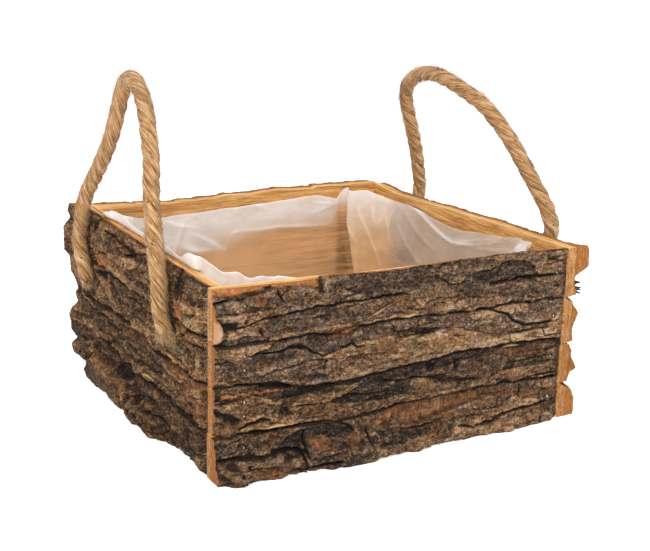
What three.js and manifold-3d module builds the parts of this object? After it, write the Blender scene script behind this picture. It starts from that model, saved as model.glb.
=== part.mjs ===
// A square planter basket. Four walls of bark-faced split slats, laid in four rows, overlap at the
// corners like a pinwheel and are stapled to four inner corner posts. A plywood board closes the
// bottom, a plastic film lines the inside, and two rope handles are stapled to the outside of the
// left and right walls. Millimetres, +Z up, front wall towards -Y, origin at the centre of the base.
import * as THREE from "three";
import { mergeVertices } from "three/addons/utils/BufferGeometryUtils.js";
import Module from "manifold-3d";

const wasm = await Module();
wasm.setup();

// ---- driving dimensions ----
const INNER = 246; // between the inner faces of opposite walls
const WOOD_T = 6; // split wood of a slat, without its bark
const BARK_EDGE = 2.4; // bark at a slat's long edges
const BARK_PEAK = 8.6; // bark at the thickest line of a slat
const BARK_PEAK_ROPE = 6.6; // the same under the rope tails, rows 1 and 2 of the left and right walls
const BARK_ROUGH = 1.5; // unevenness of the bark profile
const END_OVERHANG = 12; // a slat's free end past the neighbour wall's inner face
const GAP = 0.3; // clearance between touching pieces
const ROWS = [
  // bottom and top of each row, row 1 is the top one
  [86.6, 118],
  [57.8, 86.2],
  [29.0, 57.4],
  [0, 28.6],
];
const BOARD_T = 8; // bottom board
const POST = 18; // corner post, square
const POST_TOP = 108;
const FILM_T = 0.4;
const FILM_TOP = 112;
const FILM_CHAMFER = 86; // where the film leaves a wall to pass the corner post
const STAPLE_X = 113.7; // slat staples from the wall's middle, on the posts' centre lines
const STAPLE_CROWN = 12; // crown length, upright
const STAPLE_WIRE = 1.2;
const STAPLE_SEAT = 11; // crown's inner face from the wall's inner face
const STAPLE_TIP = -7.5; // leg tips, inside the post
const STAPLE_SHIFT = 1.5; // left staples sit this much above a row's middle, right ones below
const NAIL_R = 1.0;
const NAIL_HEAD_R = 2.0;
const NAIL_HEAD_T = 1.2;
const NAIL_Z = 4; // into the board's edge
const NAIL_SEAT = 10;
const NAIL_TIP = -14;
const ROPE_R = 5.25; // three-strand rope, 10.5 mm
const HINGE_X = 142.5; // the line about which a handle swings, along Y
const HINGE_Z = 124;
const TAIL_A = 18.6; // axis of a rope tail from the wall's inner face
const CLIP_Z = 98; // staple across a rope tail
const CLIP_WIRE = 1.6;
const CLIP_HALF = 6.2; // half the space inside the clip
const CLIP_TIP = 2; // leg tips, short of the wall's inner face
const LEFT_TILT = 7; // degrees from upright, towards the basket's middle
const RIGHT_TILT = 23;
// handle loops, in the handle's own plane: along the wall, and up from the swing line
const LEFT_ARCH = [
  [-66.5, 0], [-61, 8], [-55.4, 19], [-49.4, 30], [-45.3, 41], [-42.2, 53], [-36.5, 64],
  [-29, 75], [-20.6, 86], [-9.7, 94.5], [3.2, 100.6], [13.2, 101.6], [22.6, 96.2], [27.8, 86.9],
  [32, 74.9], [38.6, 61.1], [48.8, 46.4], [60.2, 34], [72.3, 22.4], [82.2, 11], [87.8, 0],
];
const RIGHT_ARCH = [
  [82, 0], [79.6, 6], [75.8, 16.3], [71, 30], [67.4, 43.2], [64.6, 56.1], [62.2, 68.8],
  [59.3, 80.1], [52.8, 90.4], [40.6, 99.3], [26.6, 104.8], [11.6, 107.4], [-1.4, 107],
  [-14.7, 103.9], [-29.9, 98.3], [-44.5, 92.4], [-54.6, 85], [-62.5, 76.2], [-69.7, 66.4],
  [-75.8, 54.3], [-81.5, 40.9], [-86.4, 29.7], [-90.6, 18.5], [-92, 8.7], [-91, 0],
];
// rope tails on the outside of the walls: along the wall (front is negative), and height
const LEFT_TAIL_FRONT = [[-67, 113.1], [-69.2, 103.6], [-70.2, 89.2], [-77.5, 79.5]];
const LEFT_TAIL_BACK = [[93.4, 114.6], [97.6, 106], [100, 97.3], [96.2, 86.5], [88, 77.5], [83.7, 68.5]];
const RIGHT_TAIL_FRONT = [[-89.4, 113.2], [-87.2, 102], [-86.6, 90], [-89.5, 78], [-93, 70.5]];
const RIGHT_TAIL_BACK = [[83, 113.1], [85.4, 102], [86, 90], [82, 79], [77, 72]];

const HALF = INNER / 2;

// ---- finishes ----
const finish = (color, roughness, metalness = 0, extra = {}) =>
  new THREE.MeshStandardMaterial({ color, roughness, metalness, ...extra });
const barkWood = finish(0x6a5646, 0.92);
const paleWood = finish(0xc99a5b, 0.8);
const steel = finish(0x9a9a96, 0.4, 1);
const jute = finish(0xb98f5f, 0.95);
const film = finish(0xe9e4e2, 0.35, 0, { transparent: true, opacity: 0.4, side: THREE.DoubleSide });

// ---- helpers ----
function random(seed) {
  let s = seed >>> 0;
  return () => {
    s = (s + 0x6d2b79f5) >>> 0;
    let t = Math.imul(s ^ (s >>> 15), 1 | s);
    t = (t + Math.imul(t ^ (t >>> 7), 61 | t)) ^ t;
    return ((t ^ (t >>> 14)) >>> 0) / 4294967296;
  };
}

function solid(geometry) {
  const g = geometry.index ? geometry.toNonIndexed() : geometry.clone();
  g.deleteAttribute("normal");
  g.deleteAttribute("uv");
  const m = mergeVertices(g, 1e-4);
  return new wasm.Manifold(
    new wasm.Mesh({
      numProp: 3,
      vertProperties: m.attributes.position.array,
      triVerts: new Uint32Array(m.index.array),
    }),
  );
}

function geometryOf(manifold) {
  const m = manifold.getMesh();
  const n = m.numProp;
  const v = new Float32Array(m.numVert * 3);
  for (let i = 0; i < m.numVert; i++) v.set(m.vertProperties.subarray(i * n, i * n + 3), i * 3);
  const g = new THREE.BufferGeometry();
  g.setAttribute("position", new THREE.BufferAttribute(v, 3));
  g.setIndex(new THREE.BufferAttribute(new Uint32Array(m.triVerts), 1));
  g.computeVertexNormals();
  return g;
}

function named(name, geometry, material) {
  const mesh = new THREE.Mesh(geometry, material);
  mesh.name = name;
  return mesh;
}

const outline = (points) => new THREE.Shape(points.map(([x, y]) => new THREE.Vector2(x, y)));
const prism = (points, depth) =>
  new THREE.ExtrudeGeometry(outline(points), { depth, bevelEnabled: false, steps: 1 });

// A wall is drawn as the front wall: x along it, u outwards from its inner face, z up.
// A section in (u, z), drawn from x0 towards -x.
const ALONG = new THREE.Matrix4().makeBasis(
  new THREE.Vector3(0, -1, 0),
  new THREE.Vector3(0, 0, 1),
  new THREE.Vector3(-1, 0, 0),
);
function sectionAlong(points, x0, length) {
  return prism(points, length).applyMatrix4(ALONG).translate(x0, -HALF, 0);
}
// A box given by its limits in x, u and z.
function wallBox(x0, x1, u0, u1, z0, z1) {
  return new THREE.BoxGeometry(x1 - x0, u1 - u0, z1 - z0).translate(
    (x0 + x1) / 2,
    -HALF - (u0 + u1) / 2,
    (z0 + z1) / 2,
  );
}
// A turned shape whose axis points outwards.
function wallLathe(profile, sides, x, z) {
  return new THREE.LatheGeometry(
    profile.map(([r, u]) => new THREE.Vector2(r, u)),
    sides,
  )
    .rotateX(Math.PI)
    .translate(x, -HALF, z);
}

// ---- slats ----
function slat(z0, z1, peak, seed) {
  const rnd = random(seed);
  const points = [
    [0, z0],
    [WOOD_T, z0],
  ];
  const steps = 9;
  for (let i = 0; i < steps; i++) {
    const s = i / (steps - 1);
    const dome = Math.pow(Math.sin(Math.PI * (0.06 + 0.88 * s)), 0.55);
    const rough = BARK_ROUGH * rnd();
    const t = Math.min(peak, BARK_EDGE + (peak - BARK_EDGE) * dome - (i % (steps - 1) ? rough : 0));
    points.push([WOOD_T + t, z0 + 0.6 + (z1 - z0 - 1.2) * s]);
  }
  points.push([WOOD_T, z1], [0, z1]);
  const length = INNER - GAP + END_OVERHANG;
  return solid(sectionAlong(points, HALF - GAP, length));
}

// ---- staples through a slat's ends ----
function staple(x, z) {
  const h = STAPLE_CROWN / 2;
  const w = STAPLE_WIRE;
  const points = [
    [STAPLE_TIP, -h], [STAPLE_SEAT + w, -h], [STAPLE_SEAT + w, h], [STAPLE_TIP, h],
    [STAPLE_TIP + w, h - w], [STAPLE_SEAT, h - w], [STAPLE_SEAT, -h + w], [STAPLE_TIP + w, -h + w],
  ];
  return sectionAlong(points, x + w / 2, w).translate(0, 0, z);
}
function stapleSpace(x, z) {
  const h = STAPLE_CROWN / 2 + GAP;
  const w = STAPLE_WIRE / 2 + GAP;
  const leg = STAPLE_WIRE + 2 * GAP;
  const crown = solid(wallBox(x - w, x + w, STAPLE_SEAT - GAP, STAPLE_SEAT + 12, z - h, z + h));
  const low = solid(wallBox(x - w, x + w, STAPLE_TIP - GAP, STAPLE_SEAT, z - h, z - h + leg));
  const high = solid(wallBox(x - w, x + w, STAPLE_TIP - GAP, STAPLE_SEAT, z + h - leg, z + h));
  return crown.add(low).add(high);
}
const middle = (row) => (ROWS[row][0] + ROWS[row][1]) / 2;
const stapledRows = [0, 1, 2];
const leftSpot = (row) => [-STAPLE_X, middle(row) + STAPLE_SHIFT];
const rightSpot = (row) => [STAPLE_X, middle(row) - STAPLE_SHIFT];

// ---- nails into the board ----
const nail = (x) =>
  wallLathe(
    [
      [0, NAIL_TIP], [NAIL_R, NAIL_TIP + 3], [NAIL_R, NAIL_SEAT], [NAIL_HEAD_R, NAIL_SEAT],
      [NAIL_HEAD_R, NAIL_SEAT + NAIL_HEAD_T], [0, NAIL_SEAT + NAIL_HEAD_T],
    ],
    10,
    x,
    NAIL_Z,
  );
const nailSpace = (x) =>
  solid(
    wallLathe(
      [
        [0, NAIL_TIP - GAP], [NAIL_R + GAP, NAIL_TIP - GAP], [NAIL_R + GAP, NAIL_SEAT - GAP],
        [NAIL_HEAD_R + GAP, NAIL_SEAT - GAP], [NAIL_HEAD_R + GAP, NAIL_SEAT + 12], [0, NAIL_SEAT + 12],
      ],
      10,
      x,
      NAIL_Z,
    ),
  );
const NAIL_AT = 18; // along the wall, off its middle

// ---- rope ----
function ropeTube(curve, steps) {
  const section = [];
  for (let i = 0; i < 10; i++) {
    const a = (i / 10) * 2 * Math.PI;
    section.push([ROPE_R * Math.cos(a), ROPE_R * Math.sin(a)]);
  }
  return solid(
    new THREE.ExtrudeGeometry(outline(section), { steps, extrudePath: curve, bevelEnabled: false }),
  );
}
const ball = (p) => solid(new THREE.SphereGeometry(ROPE_R, 10, 6).rotateX(Math.PI / 2).translate(p.x, p.y, p.z));

function arch(points, side, tilt) {
  const a = THREE.MathUtils.degToRad(tilt);
  const path = points.map(
    ([y, h]) => new THREE.Vector3(side * (HINGE_X - h * Math.sin(a)), y, HINGE_Z + h * Math.cos(a)),
  );
  const curve = new THREE.CatmullRomCurve3(path, false, "centripetal");
  return ropeTube(curve, 26).add(ball(path[0])).add(ball(path[path.length - 1]));
}
// A tail in the wall's own x, u and z.
function tail(points) {
  const path = points.map(([x, z]) => new THREE.Vector3(x, -HALF - TAIL_A, z));
  const curve = new THREE.CatmullRomCurve3(path, false, "centripetal");
  return ropeTube(curve, 6).add(ball(path[0]));
}
// The clip across a tail, seen from above in x and u.
function clip(x) {
  const w = CLIP_WIRE;
  const seat = TAIL_A + ROPE_R + GAP;
  const o = CLIP_HALF + w;
  const points = [
    [-o, CLIP_TIP], [-CLIP_HALF, CLIP_TIP + w], [-CLIP_HALF, seat], [CLIP_HALF, seat],
    [CLIP_HALF, CLIP_TIP + w], [o, CLIP_TIP], [o, seat + w], [-o, seat + w],
  ];
  const across = new THREE.Matrix4().makeBasis(
    new THREE.Vector3(1, 0, 0),
    new THREE.Vector3(0, -1, 0),
    new THREE.Vector3(0, 0, -1),
  );
  return prism(points, w).applyMatrix4(across).translate(x, -HALF, CLIP_Z + w / 2);
}
function clipSpace(x) {
  const h = CLIP_WIRE / 2 + GAP;
  const legs = [-1, 1].map((s) => {
    const c = x + s * (CLIP_HALF + CLIP_WIRE / 2);
    return solid(wallBox(c - h, c + h, CLIP_TIP - GAP, 20, CLIP_Z - h, CLIP_Z + h));
  });
  return legs[0].add(legs[1]);
}
function along(points, height) {
  for (let i = 1; i < points.length; i++) {
    const [x0, z0] = points[i - 1];
    const [x1, z1] = points[i];
    if (z0 >= height && z1 <= height) return x0 + ((x1 - x0) * (z0 - height)) / (z0 - z1);
  }
  throw new Error("the tail does not pass the clip");
}

// ---- assembly ----
const basket = new THREE.Group();

// In the walls' own x, the left wall runs from back to front and the right wall from front to back.
const flip = (points) => points.map(([y, z]) => [-y, z]);
const WALLS = [
  { name: "front", turn: 0, tails: [] },
  {
    name: "right",
    turn: 90,
    tails: [
      ["front", RIGHT_TAIL_FRONT],
      ["back", RIGHT_TAIL_BACK],
    ],
  },
  { name: "back", turn: 180, tails: [] },
  {
    name: "left",
    turn: 270,
    tails: [
      ["front", flip(LEFT_TAIL_FRONT)],
      ["back", flip(LEFT_TAIL_BACK)],
    ],
  },
];
const POST_NAMES = ["corner_post_front_right", "corner_post_back_right", "corner_post_back_left", "corner_post_front_left"];

// A corner post takes the legs of this wall's right staples and of the next wall's left ones.
let postSolid = solid(wallBox(HALF - GAP - POST, HALF - GAP, -GAP - POST, -GAP, BOARD_T + GAP, POST_TOP));
for (const row of stapledRows) {
  postSolid = postSolid.subtract(stapleSpace(...rightSpot(row)));
  postSolid = postSolid.subtract(stapleSpace(...leftSpot(row)).rotate([0, 0, 90]));
}
const postGeometry = geometryOf(postSolid);

WALLS.forEach((wall, w) => {
  const group = new THREE.Group();
  group.rotation.z = THREE.MathUtils.degToRad(wall.turn);
  const clips = wall.tails.map(([where, points]) => [where, points, along(points, CLIP_Z)]);
  ROWS.forEach(([z0, z1], row) => {
    const peak = clips.length && row < 2 ? BARK_PEAK_ROPE : BARK_PEAK;
    let body = slat(z0, z1, peak, 101 + 17 * w + 5 * row);
    if (stapledRows.includes(row)) {
      body = body.subtract(stapleSpace(...leftSpot(row))).subtract(stapleSpace(...rightSpot(row)));
      group.add(named(`${wall.name}_staple_${row + 1}_left`, staple(...leftSpot(row)), steel));
      group.add(named(`${wall.name}_staple_${row + 1}_right`, staple(...rightSpot(row)), steel));
    }
    if (row === 0) for (const [, , x] of clips) body = body.subtract(clipSpace(x));
    if (row === ROWS.length - 1) {
      body = body.subtract(nailSpace(NAIL_AT));
      group.add(named(`${wall.name}_nail`, nail(NAIL_AT), steel));
    }
    group.add(named(`${wall.name}_slat_${row + 1}`, geometryOf(body), barkWood));
  });
  for (const [where, points, x] of clips) {
    group.add(named(`${wall.name}_handle_tail_${where}`, geometryOf(tail(points)), jute));
    group.add(named(`${wall.name}_tail_staple_${where}`, clip(x), steel));
  }
  group.add(named(POST_NAMES[w], postGeometry, paleWood));
  basket.add(group);
});

// bottom board, with the nails' holes in its edges
let board = solid(
  new THREE.BoxGeometry(INNER - 2 * GAP, INNER - 2 * GAP, BOARD_T).translate(0, 0, BOARD_T / 2),
);
for (const wall of WALLS) board = board.subtract(nailSpace(NAIL_AT).rotate([0, 0, wall.turn]));
basket.add(named("bottom_board", geometryOf(board), paleWood));

// film liner, open at the top, cut across the corner posts
const octagon = (half, cut) => [
  [half, -cut], [half, cut], [cut, half], [-cut, half], [-half, cut], [-half, -cut], [-cut, -half], [cut, -half],
];
const FILM_OUT = HALF - 2 * GAP;
const filmBase = BOARD_T + GAP;
const filmShell = solid(prism(octagon(FILM_OUT, FILM_CHAMFER), FILM_TOP - filmBase).translate(0, 0, filmBase)).subtract(
  solid(
    prism(octagon(FILM_OUT - FILM_T, FILM_CHAMFER - 0.41421 * FILM_T), 200).translate(0, 0, filmBase + FILM_T),
  ),
);
basket.add(named("liner", geometryOf(filmShell), film));

// handle loops, which swing about the lines where the rope passes the rim
basket.add(named("left_handle_arch", geometryOf(arch(LEFT_ARCH, -1, LEFT_TILT)), jute));
basket.add(named("right_handle_arch", geometryOf(arch(RIGHT_ARCH, 1, RIGHT_TILT)), jute));

export default basket;
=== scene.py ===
"""Wooden basket: bark-faced slats on corner posts, a film liner and two jute rope handles."""
import math

import bpy
import numpy as np
from mathutils import Matrix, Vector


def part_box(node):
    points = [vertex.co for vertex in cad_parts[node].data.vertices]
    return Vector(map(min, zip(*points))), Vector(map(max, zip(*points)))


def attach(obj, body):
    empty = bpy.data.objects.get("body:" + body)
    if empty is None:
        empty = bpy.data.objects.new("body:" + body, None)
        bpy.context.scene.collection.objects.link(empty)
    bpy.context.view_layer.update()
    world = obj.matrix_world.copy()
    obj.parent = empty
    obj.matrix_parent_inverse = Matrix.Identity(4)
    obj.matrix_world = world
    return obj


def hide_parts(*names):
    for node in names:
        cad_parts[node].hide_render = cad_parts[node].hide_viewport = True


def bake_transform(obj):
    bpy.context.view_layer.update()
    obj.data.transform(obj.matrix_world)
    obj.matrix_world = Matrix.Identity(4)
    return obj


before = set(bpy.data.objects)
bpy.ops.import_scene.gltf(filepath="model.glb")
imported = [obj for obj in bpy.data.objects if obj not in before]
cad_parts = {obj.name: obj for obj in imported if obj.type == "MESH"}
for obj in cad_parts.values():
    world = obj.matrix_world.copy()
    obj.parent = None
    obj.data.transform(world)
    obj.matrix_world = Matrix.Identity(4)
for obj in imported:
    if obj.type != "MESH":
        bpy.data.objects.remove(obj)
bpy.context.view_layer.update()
scene = bpy.context.scene
scene.view_settings.view_transform = "Standard"
scene.view_settings.look = "None"

MM = 0.001
TAU = 2 * math.pi

# ---------------------------------------------------------------- camera
FOCAL = 1175.34                     # pixels, on an image 650 wide
AZ, EL, ROLL = (math.radians(a) for a in (-28.31, 15.14, 1.44))
EYE = np.array([-381.7, -728.8, 303.9])
back = np.array([math.sin(AZ) * math.cos(EL), -math.cos(AZ) * math.cos(EL), math.sin(EL)])
right = np.cross([0, 0, 1.0], back)
right /= np.linalg.norm(right)
up = np.cross(back, right)
c, s = math.cos(ROLL), math.sin(ROLL)
right, up = c * right + s * up, -s * right + c * up
cam_data = bpy.data.cameras.new("camera")
cam_data.sensor_fit = "HORIZONTAL"
cam_data.sensor_width = 36
cam_data.lens = 36 * FOCAL / 650
cam_data.clip_start = 0.01
cam_data.clip_end = 100
cam = bpy.data.objects.new("camera", cam_data)
scene.collection.objects.link(cam)
cam.matrix_world = Matrix(((right[0], up[0], back[0], EYE[0] * MM),
                           (right[1], up[1], back[1], EYE[1] * MM),
                           (right[2], up[2], back[2], EYE[2] * MM),
                           (0, 0, 0, 1)))
scene.camera = cam


# ---------------------------------------------------------------- noise kit
def _hash(ix, iy, seed):
    h = (ix.astype(np.int64).astype(np.uint32) * np.uint32(374761393)) \
        ^ (iy.astype(np.int64).astype(np.uint32) * np.uint32(668265263)) \
        ^ np.uint32((seed * 2246822519 + 374761) & 0xFFFFFFFF)
    h = (h ^ (h >> np.uint32(15))) * np.uint32(2246822519)
    h = (h ^ (h >> np.uint32(13))) * np.uint32(3266489917)
    h = h ^ (h >> np.uint32(16))
    return h.astype(np.float64) / 4294967296.0


def noise(x, y, seed=0):
    """Gradient noise, about -1 to 1."""
    x, y = np.broadcast_arrays(np.asarray(x, float), np.asarray(y, float))
    x0, y0 = np.floor(x), np.floor(y)
    fx, fy = x - x0, y - y0
    u = fx * fx * fx * (fx * (fx * 6 - 15) + 10)
    v = fy * fy * fy * (fy * (fy * 6 - 15) + 10)

    def corner(dx, dy):
        a = _hash(x0 + dx, y0 + dy, seed) * TAU
        return np.cos(a) * (fx - dx) + np.sin(a) * (fy - dy)

    n0 = corner(0, 0) * (1 - u) + corner(1, 0) * u
    n1 = corner(0, 1) * (1 - u) + corner(1, 1) * u
    return (n0 * (1 - v) + n1 * v) * 1.5


def fbm(x, y, seed=0, octaves=4, gain=0.5):
    total, amp, norm, k = 0.0, 1.0, 0.0, 1.0
    for i in range(octaves):
        total = total + amp * noise(np.asarray(x) * k + 17.3 * i, np.asarray(y) * k - 9.1 * i, seed + 101 * i)
        norm += amp
        amp *= gain
        k *= 2.03
    return total / norm * 1.25


def worley(x, y, seed=0, jitter=0.9):
    """Distances to the nearest and second nearest cell points, the cell's number and the offset to its point."""
    x, y = np.broadcast_arrays(np.asarray(x, float), np.asarray(y, float))
    x0, y0 = np.floor(x), np.floor(y)
    f1 = np.full(x.shape, 9.0)
    f2 = np.full(x.shape, 9.0)
    cid, ox, oy = np.zeros(x.shape), np.zeros(x.shape), np.zeros(x.shape)
    for dx in (-1, 0, 1):
        for dy in (-1, 0, 1):
            cx, cy = x0 + dx, y0 + dy
            px = cx + 0.5 + jitter * (_hash(cx, cy, seed) - 0.5) - x
            py = cy + 0.5 + jitter * (_hash(cx, cy, seed + 7) - 0.5) - y
            d = np.sqrt(px * px + py * py)
            near = d < f1
            f2 = np.where(near, f1, np.minimum(f2, d))
            ox, oy = np.where(near, px, ox), np.where(near, py, oy)
            cid = np.where(near, _hash(cx, cy, seed + 13), cid)
            f1 = np.where(near, d, f1)
    return f1, f2, cid, ox, oy


def smooth(a, b, x):
    t = np.clip((x - a) / (b - a), 0, 1)
    return t * t * (3 - 2 * t)


def blur(a, rx, rz):
    """Box blur of a 2-D array, twice, with radii in samples."""
    for axis, r in ((0, rx), (1, rz)):
        for _ in range(2):
            pad = [(0, 0), (0, 0)]
            pad[axis] = (r + 1, r)
            q = np.cumsum(np.pad(a, pad, mode="edge"), axis=axis)
            n = a.shape[axis]
            hi = np.take(q, range(2 * r + 1, 2 * r + 1 + n), axis=axis)
            lo = np.take(q, range(0, n), axis=axis)
            a = (hi - lo) / (2 * r + 1)
    return a


def line_distance(X, Z, pts, sided=False):
    """Distance to a polyline, how far along it (0 to 1) the nearest point is and, if asked, on which side of it."""
    best = np.full(X.shape, 1e9)
    along, side = np.zeros(X.shape), np.zeros(X.shape)
    pts = np.asarray(pts, float)
    seg = np.linalg.norm(np.diff(pts, axis=0), axis=1)
    total = seg.sum()
    run = 0.0
    for (ax, az), (bx, bz), ln in zip(pts[:-1], pts[1:], seg):
        dx, dz = bx - ax, bz - az
        t = np.clip(((X - ax) * dx + (Z - az) * dz) / (ln * ln + 1e-9), 0, 1)
        d = np.hypot(X - ax - t * dx, Z - az - t * dz)
        near = d < best
        best = np.where(near, d, best)
        along = np.where(near, (run + t * ln) / total, along)
        side = np.where(near, dx * (Z - az) - dz * (X - ax), side)
        run += ln
    return (best, along, side) if sided else (best, along)


def patch_distance(X, Z, pts):
    """Signed distance to a closed outline, negative inside."""
    pts = np.asarray(pts, float)
    d, _ = line_distance(X, Z, np.vstack([pts, pts[:1]]))
    inside = np.zeros(X.shape, bool)
    for (ax, az), (bx, bz) in zip(pts, np.roll(pts, -1, axis=0)):
        cross = (az > Z) != (bz > Z)
        xi = ax + (Z - az) * (bx - ax) / (bz - az if abs(bz - az) > 1e-9 else 1e-9)
        inside ^= cross & (X < xi)
    return np.where(inside, -d, d)


# ---------------------------------------------------------------- mesh kit
def build(name, verts, faces, materials, index=None, attrs=None, sharp=None):
    """A mesh object from millimetre points and a list of face arrays, each of one size."""
    mesh = bpy.data.meshes.new(name)
    verts = np.asarray(verts, float)
    mesh.vertices.add(len(verts))
    mesh.vertices.foreach_set("co", (verts * MM).astype(np.float32).ravel())
    sizes = np.concatenate([np.full(len(f), f.shape[1], np.int32) for f in faces])
    loops = np.concatenate([np.asarray(f, np.int32).ravel() for f in faces])
    mesh.loops.add(len(loops))
    mesh.loops.foreach_set("vertex_index", loops)
    mesh.polygons.add(len(sizes))
    mesh.polygons.foreach_set("loop_start", np.concatenate([[0], np.cumsum(sizes)[:-1]]).astype(np.int32))
    for m in materials:
        mesh.materials.append(m)
    if index is not None:
        mesh.polygons.foreach_set("material_index", np.concatenate(index).astype(np.int32))
    mesh.update(calc_edges=True)
    mesh.validate()
    for key, values in (attrs or {}).items():
        values = np.asarray(values, np.float32)
        if values.ndim == 1:
            mesh.attributes.new(key, "FLOAT", "POINT").data.foreach_set("value", values)
        else:
            mesh.attributes.new(key, "FLOAT_VECTOR", "POINT").data.foreach_set("vector", values.ravel())
    mesh.shade_smooth()
    if sharp is not None:
        mesh.set_sharp_from_angle(angle=math.radians(sharp))
    obj = bpy.data.objects.new(name, mesh)
    scene.collection.objects.link(obj)
    return obj


# ---------------------------------------------------------------- material kit
class Nodes:
    """A node material whose calls make one node each and return its output."""

    def __init__(self, name):
        self.mat = bpy.data.materials.new(name)
        self.mat.use_nodes = True
        self.tree = self.mat.node_tree
        self.tree.nodes.clear()
        self.out = self.tree.nodes.new("ShaderNodeOutputMaterial")
        self.bsdf = self.tree.nodes.new("ShaderNodeBsdfPrincipled")
        self.tree.links.new(self.bsdf.outputs[0], self.out.inputs[0])

    def put(self, node, key, value):
        if isinstance(value, bpy.types.NodeSocket):
            self.tree.links.new(value, node.inputs[key])
        else:
            node.inputs[key].default_value = value

    def new(self, kind, ins=None, **props):
        node = self.tree.nodes.new(kind)
        for k, v in props.items():
            setattr(node, k, v)
        for k, v in (ins or {}).items():
            self.put(node, k, v)
        return node

    def attr(self, name, vector=False):
        node = self.new("ShaderNodeAttribute", attribute_name=name)
        return node.outputs["Vector" if vector else "Fac"]

    def scale(self, vec, by):
        return self.new("ShaderNodeVectorMath", {0: vec, 1: by}, operation="MULTIPLY").outputs[0]

    def noise(self, vec, scale=1.0, detail=4.0, rough=0.55, distort=0.0, lac=2.0):
        return self.new("ShaderNodeTexNoise", {"Vector": vec, "Scale": scale, "Detail": detail, "Roughness": rough,
                                               "Distortion": distort, "Lacunarity": lac}).outputs["Fac"]

    def voronoi(self, vec, scale=1.0, feature="F1", out="Distance", rand=1.0):
        return self.new("ShaderNodeTexVoronoi", {"Vector": vec, "Scale": scale, "Randomness": rand},
                        feature=feature).outputs[out]

    def math(self, op, a, b=0.0, clamp=False):
        node = self.new("ShaderNodeMath", {0: a, 1: b}, operation=op)
        node.use_clamp = clamp
        return node.outputs[0]

    def fit(self, v, lo, hi, to0=0.0, to1=1.0):
        return self.new("ShaderNodeMapRange", {0: v, 1: lo, 2: hi, 3: to0, 4: to1}, clamp=True,
                        interpolation_type="SMOOTHSTEP").outputs[0]

    def mix(self, fac, a, b, blend="MIX"):
        node = self.new("ShaderNodeMix", data_type="RGBA", blend_type=blend)
        node.clamp_factor = True
        for k, v in ((0, fac), (6, a), (7, b)):
            if not isinstance(v, bpy.types.NodeSocket) and k != 0:
                v = (*v, 1.0)
            self.put(node, k, v)
        return node.outputs[2]

    def ramp(self, fac, stops):
        node = self.new("ShaderNodeValToRGB", {0: fac})
        els = node.color_ramp.elements
        while len(els) < len(stops):
            els.new(0.5)
        for e, (p, col) in zip(els, stops):
            e.position = p
            e.color = (*col, 1.0)
        return node.outputs[0]

    def bump(self, height, distance, strength=1.0, normal=None):
        ins = {"Height": height, "Distance": distance, "Strength": strength}
        if normal is not None:
            ins["Normal"] = normal
        return self.new("ShaderNodeBump", ins).outputs[0]

    def set(self, **ins):
        names = {"color": "Base Color", "rough": "Roughness", "normal": "Normal", "metal": "Metallic",
                 "spec": "Specular IOR Level", "alpha": "Alpha", "sheen": "Sheen Weight",
                 "sheen_rough": "Sheen Roughness", "ior": "IOR"}
        for k, v in ins.items():
            self.put(self.bsdf, names[k], v)


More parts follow.
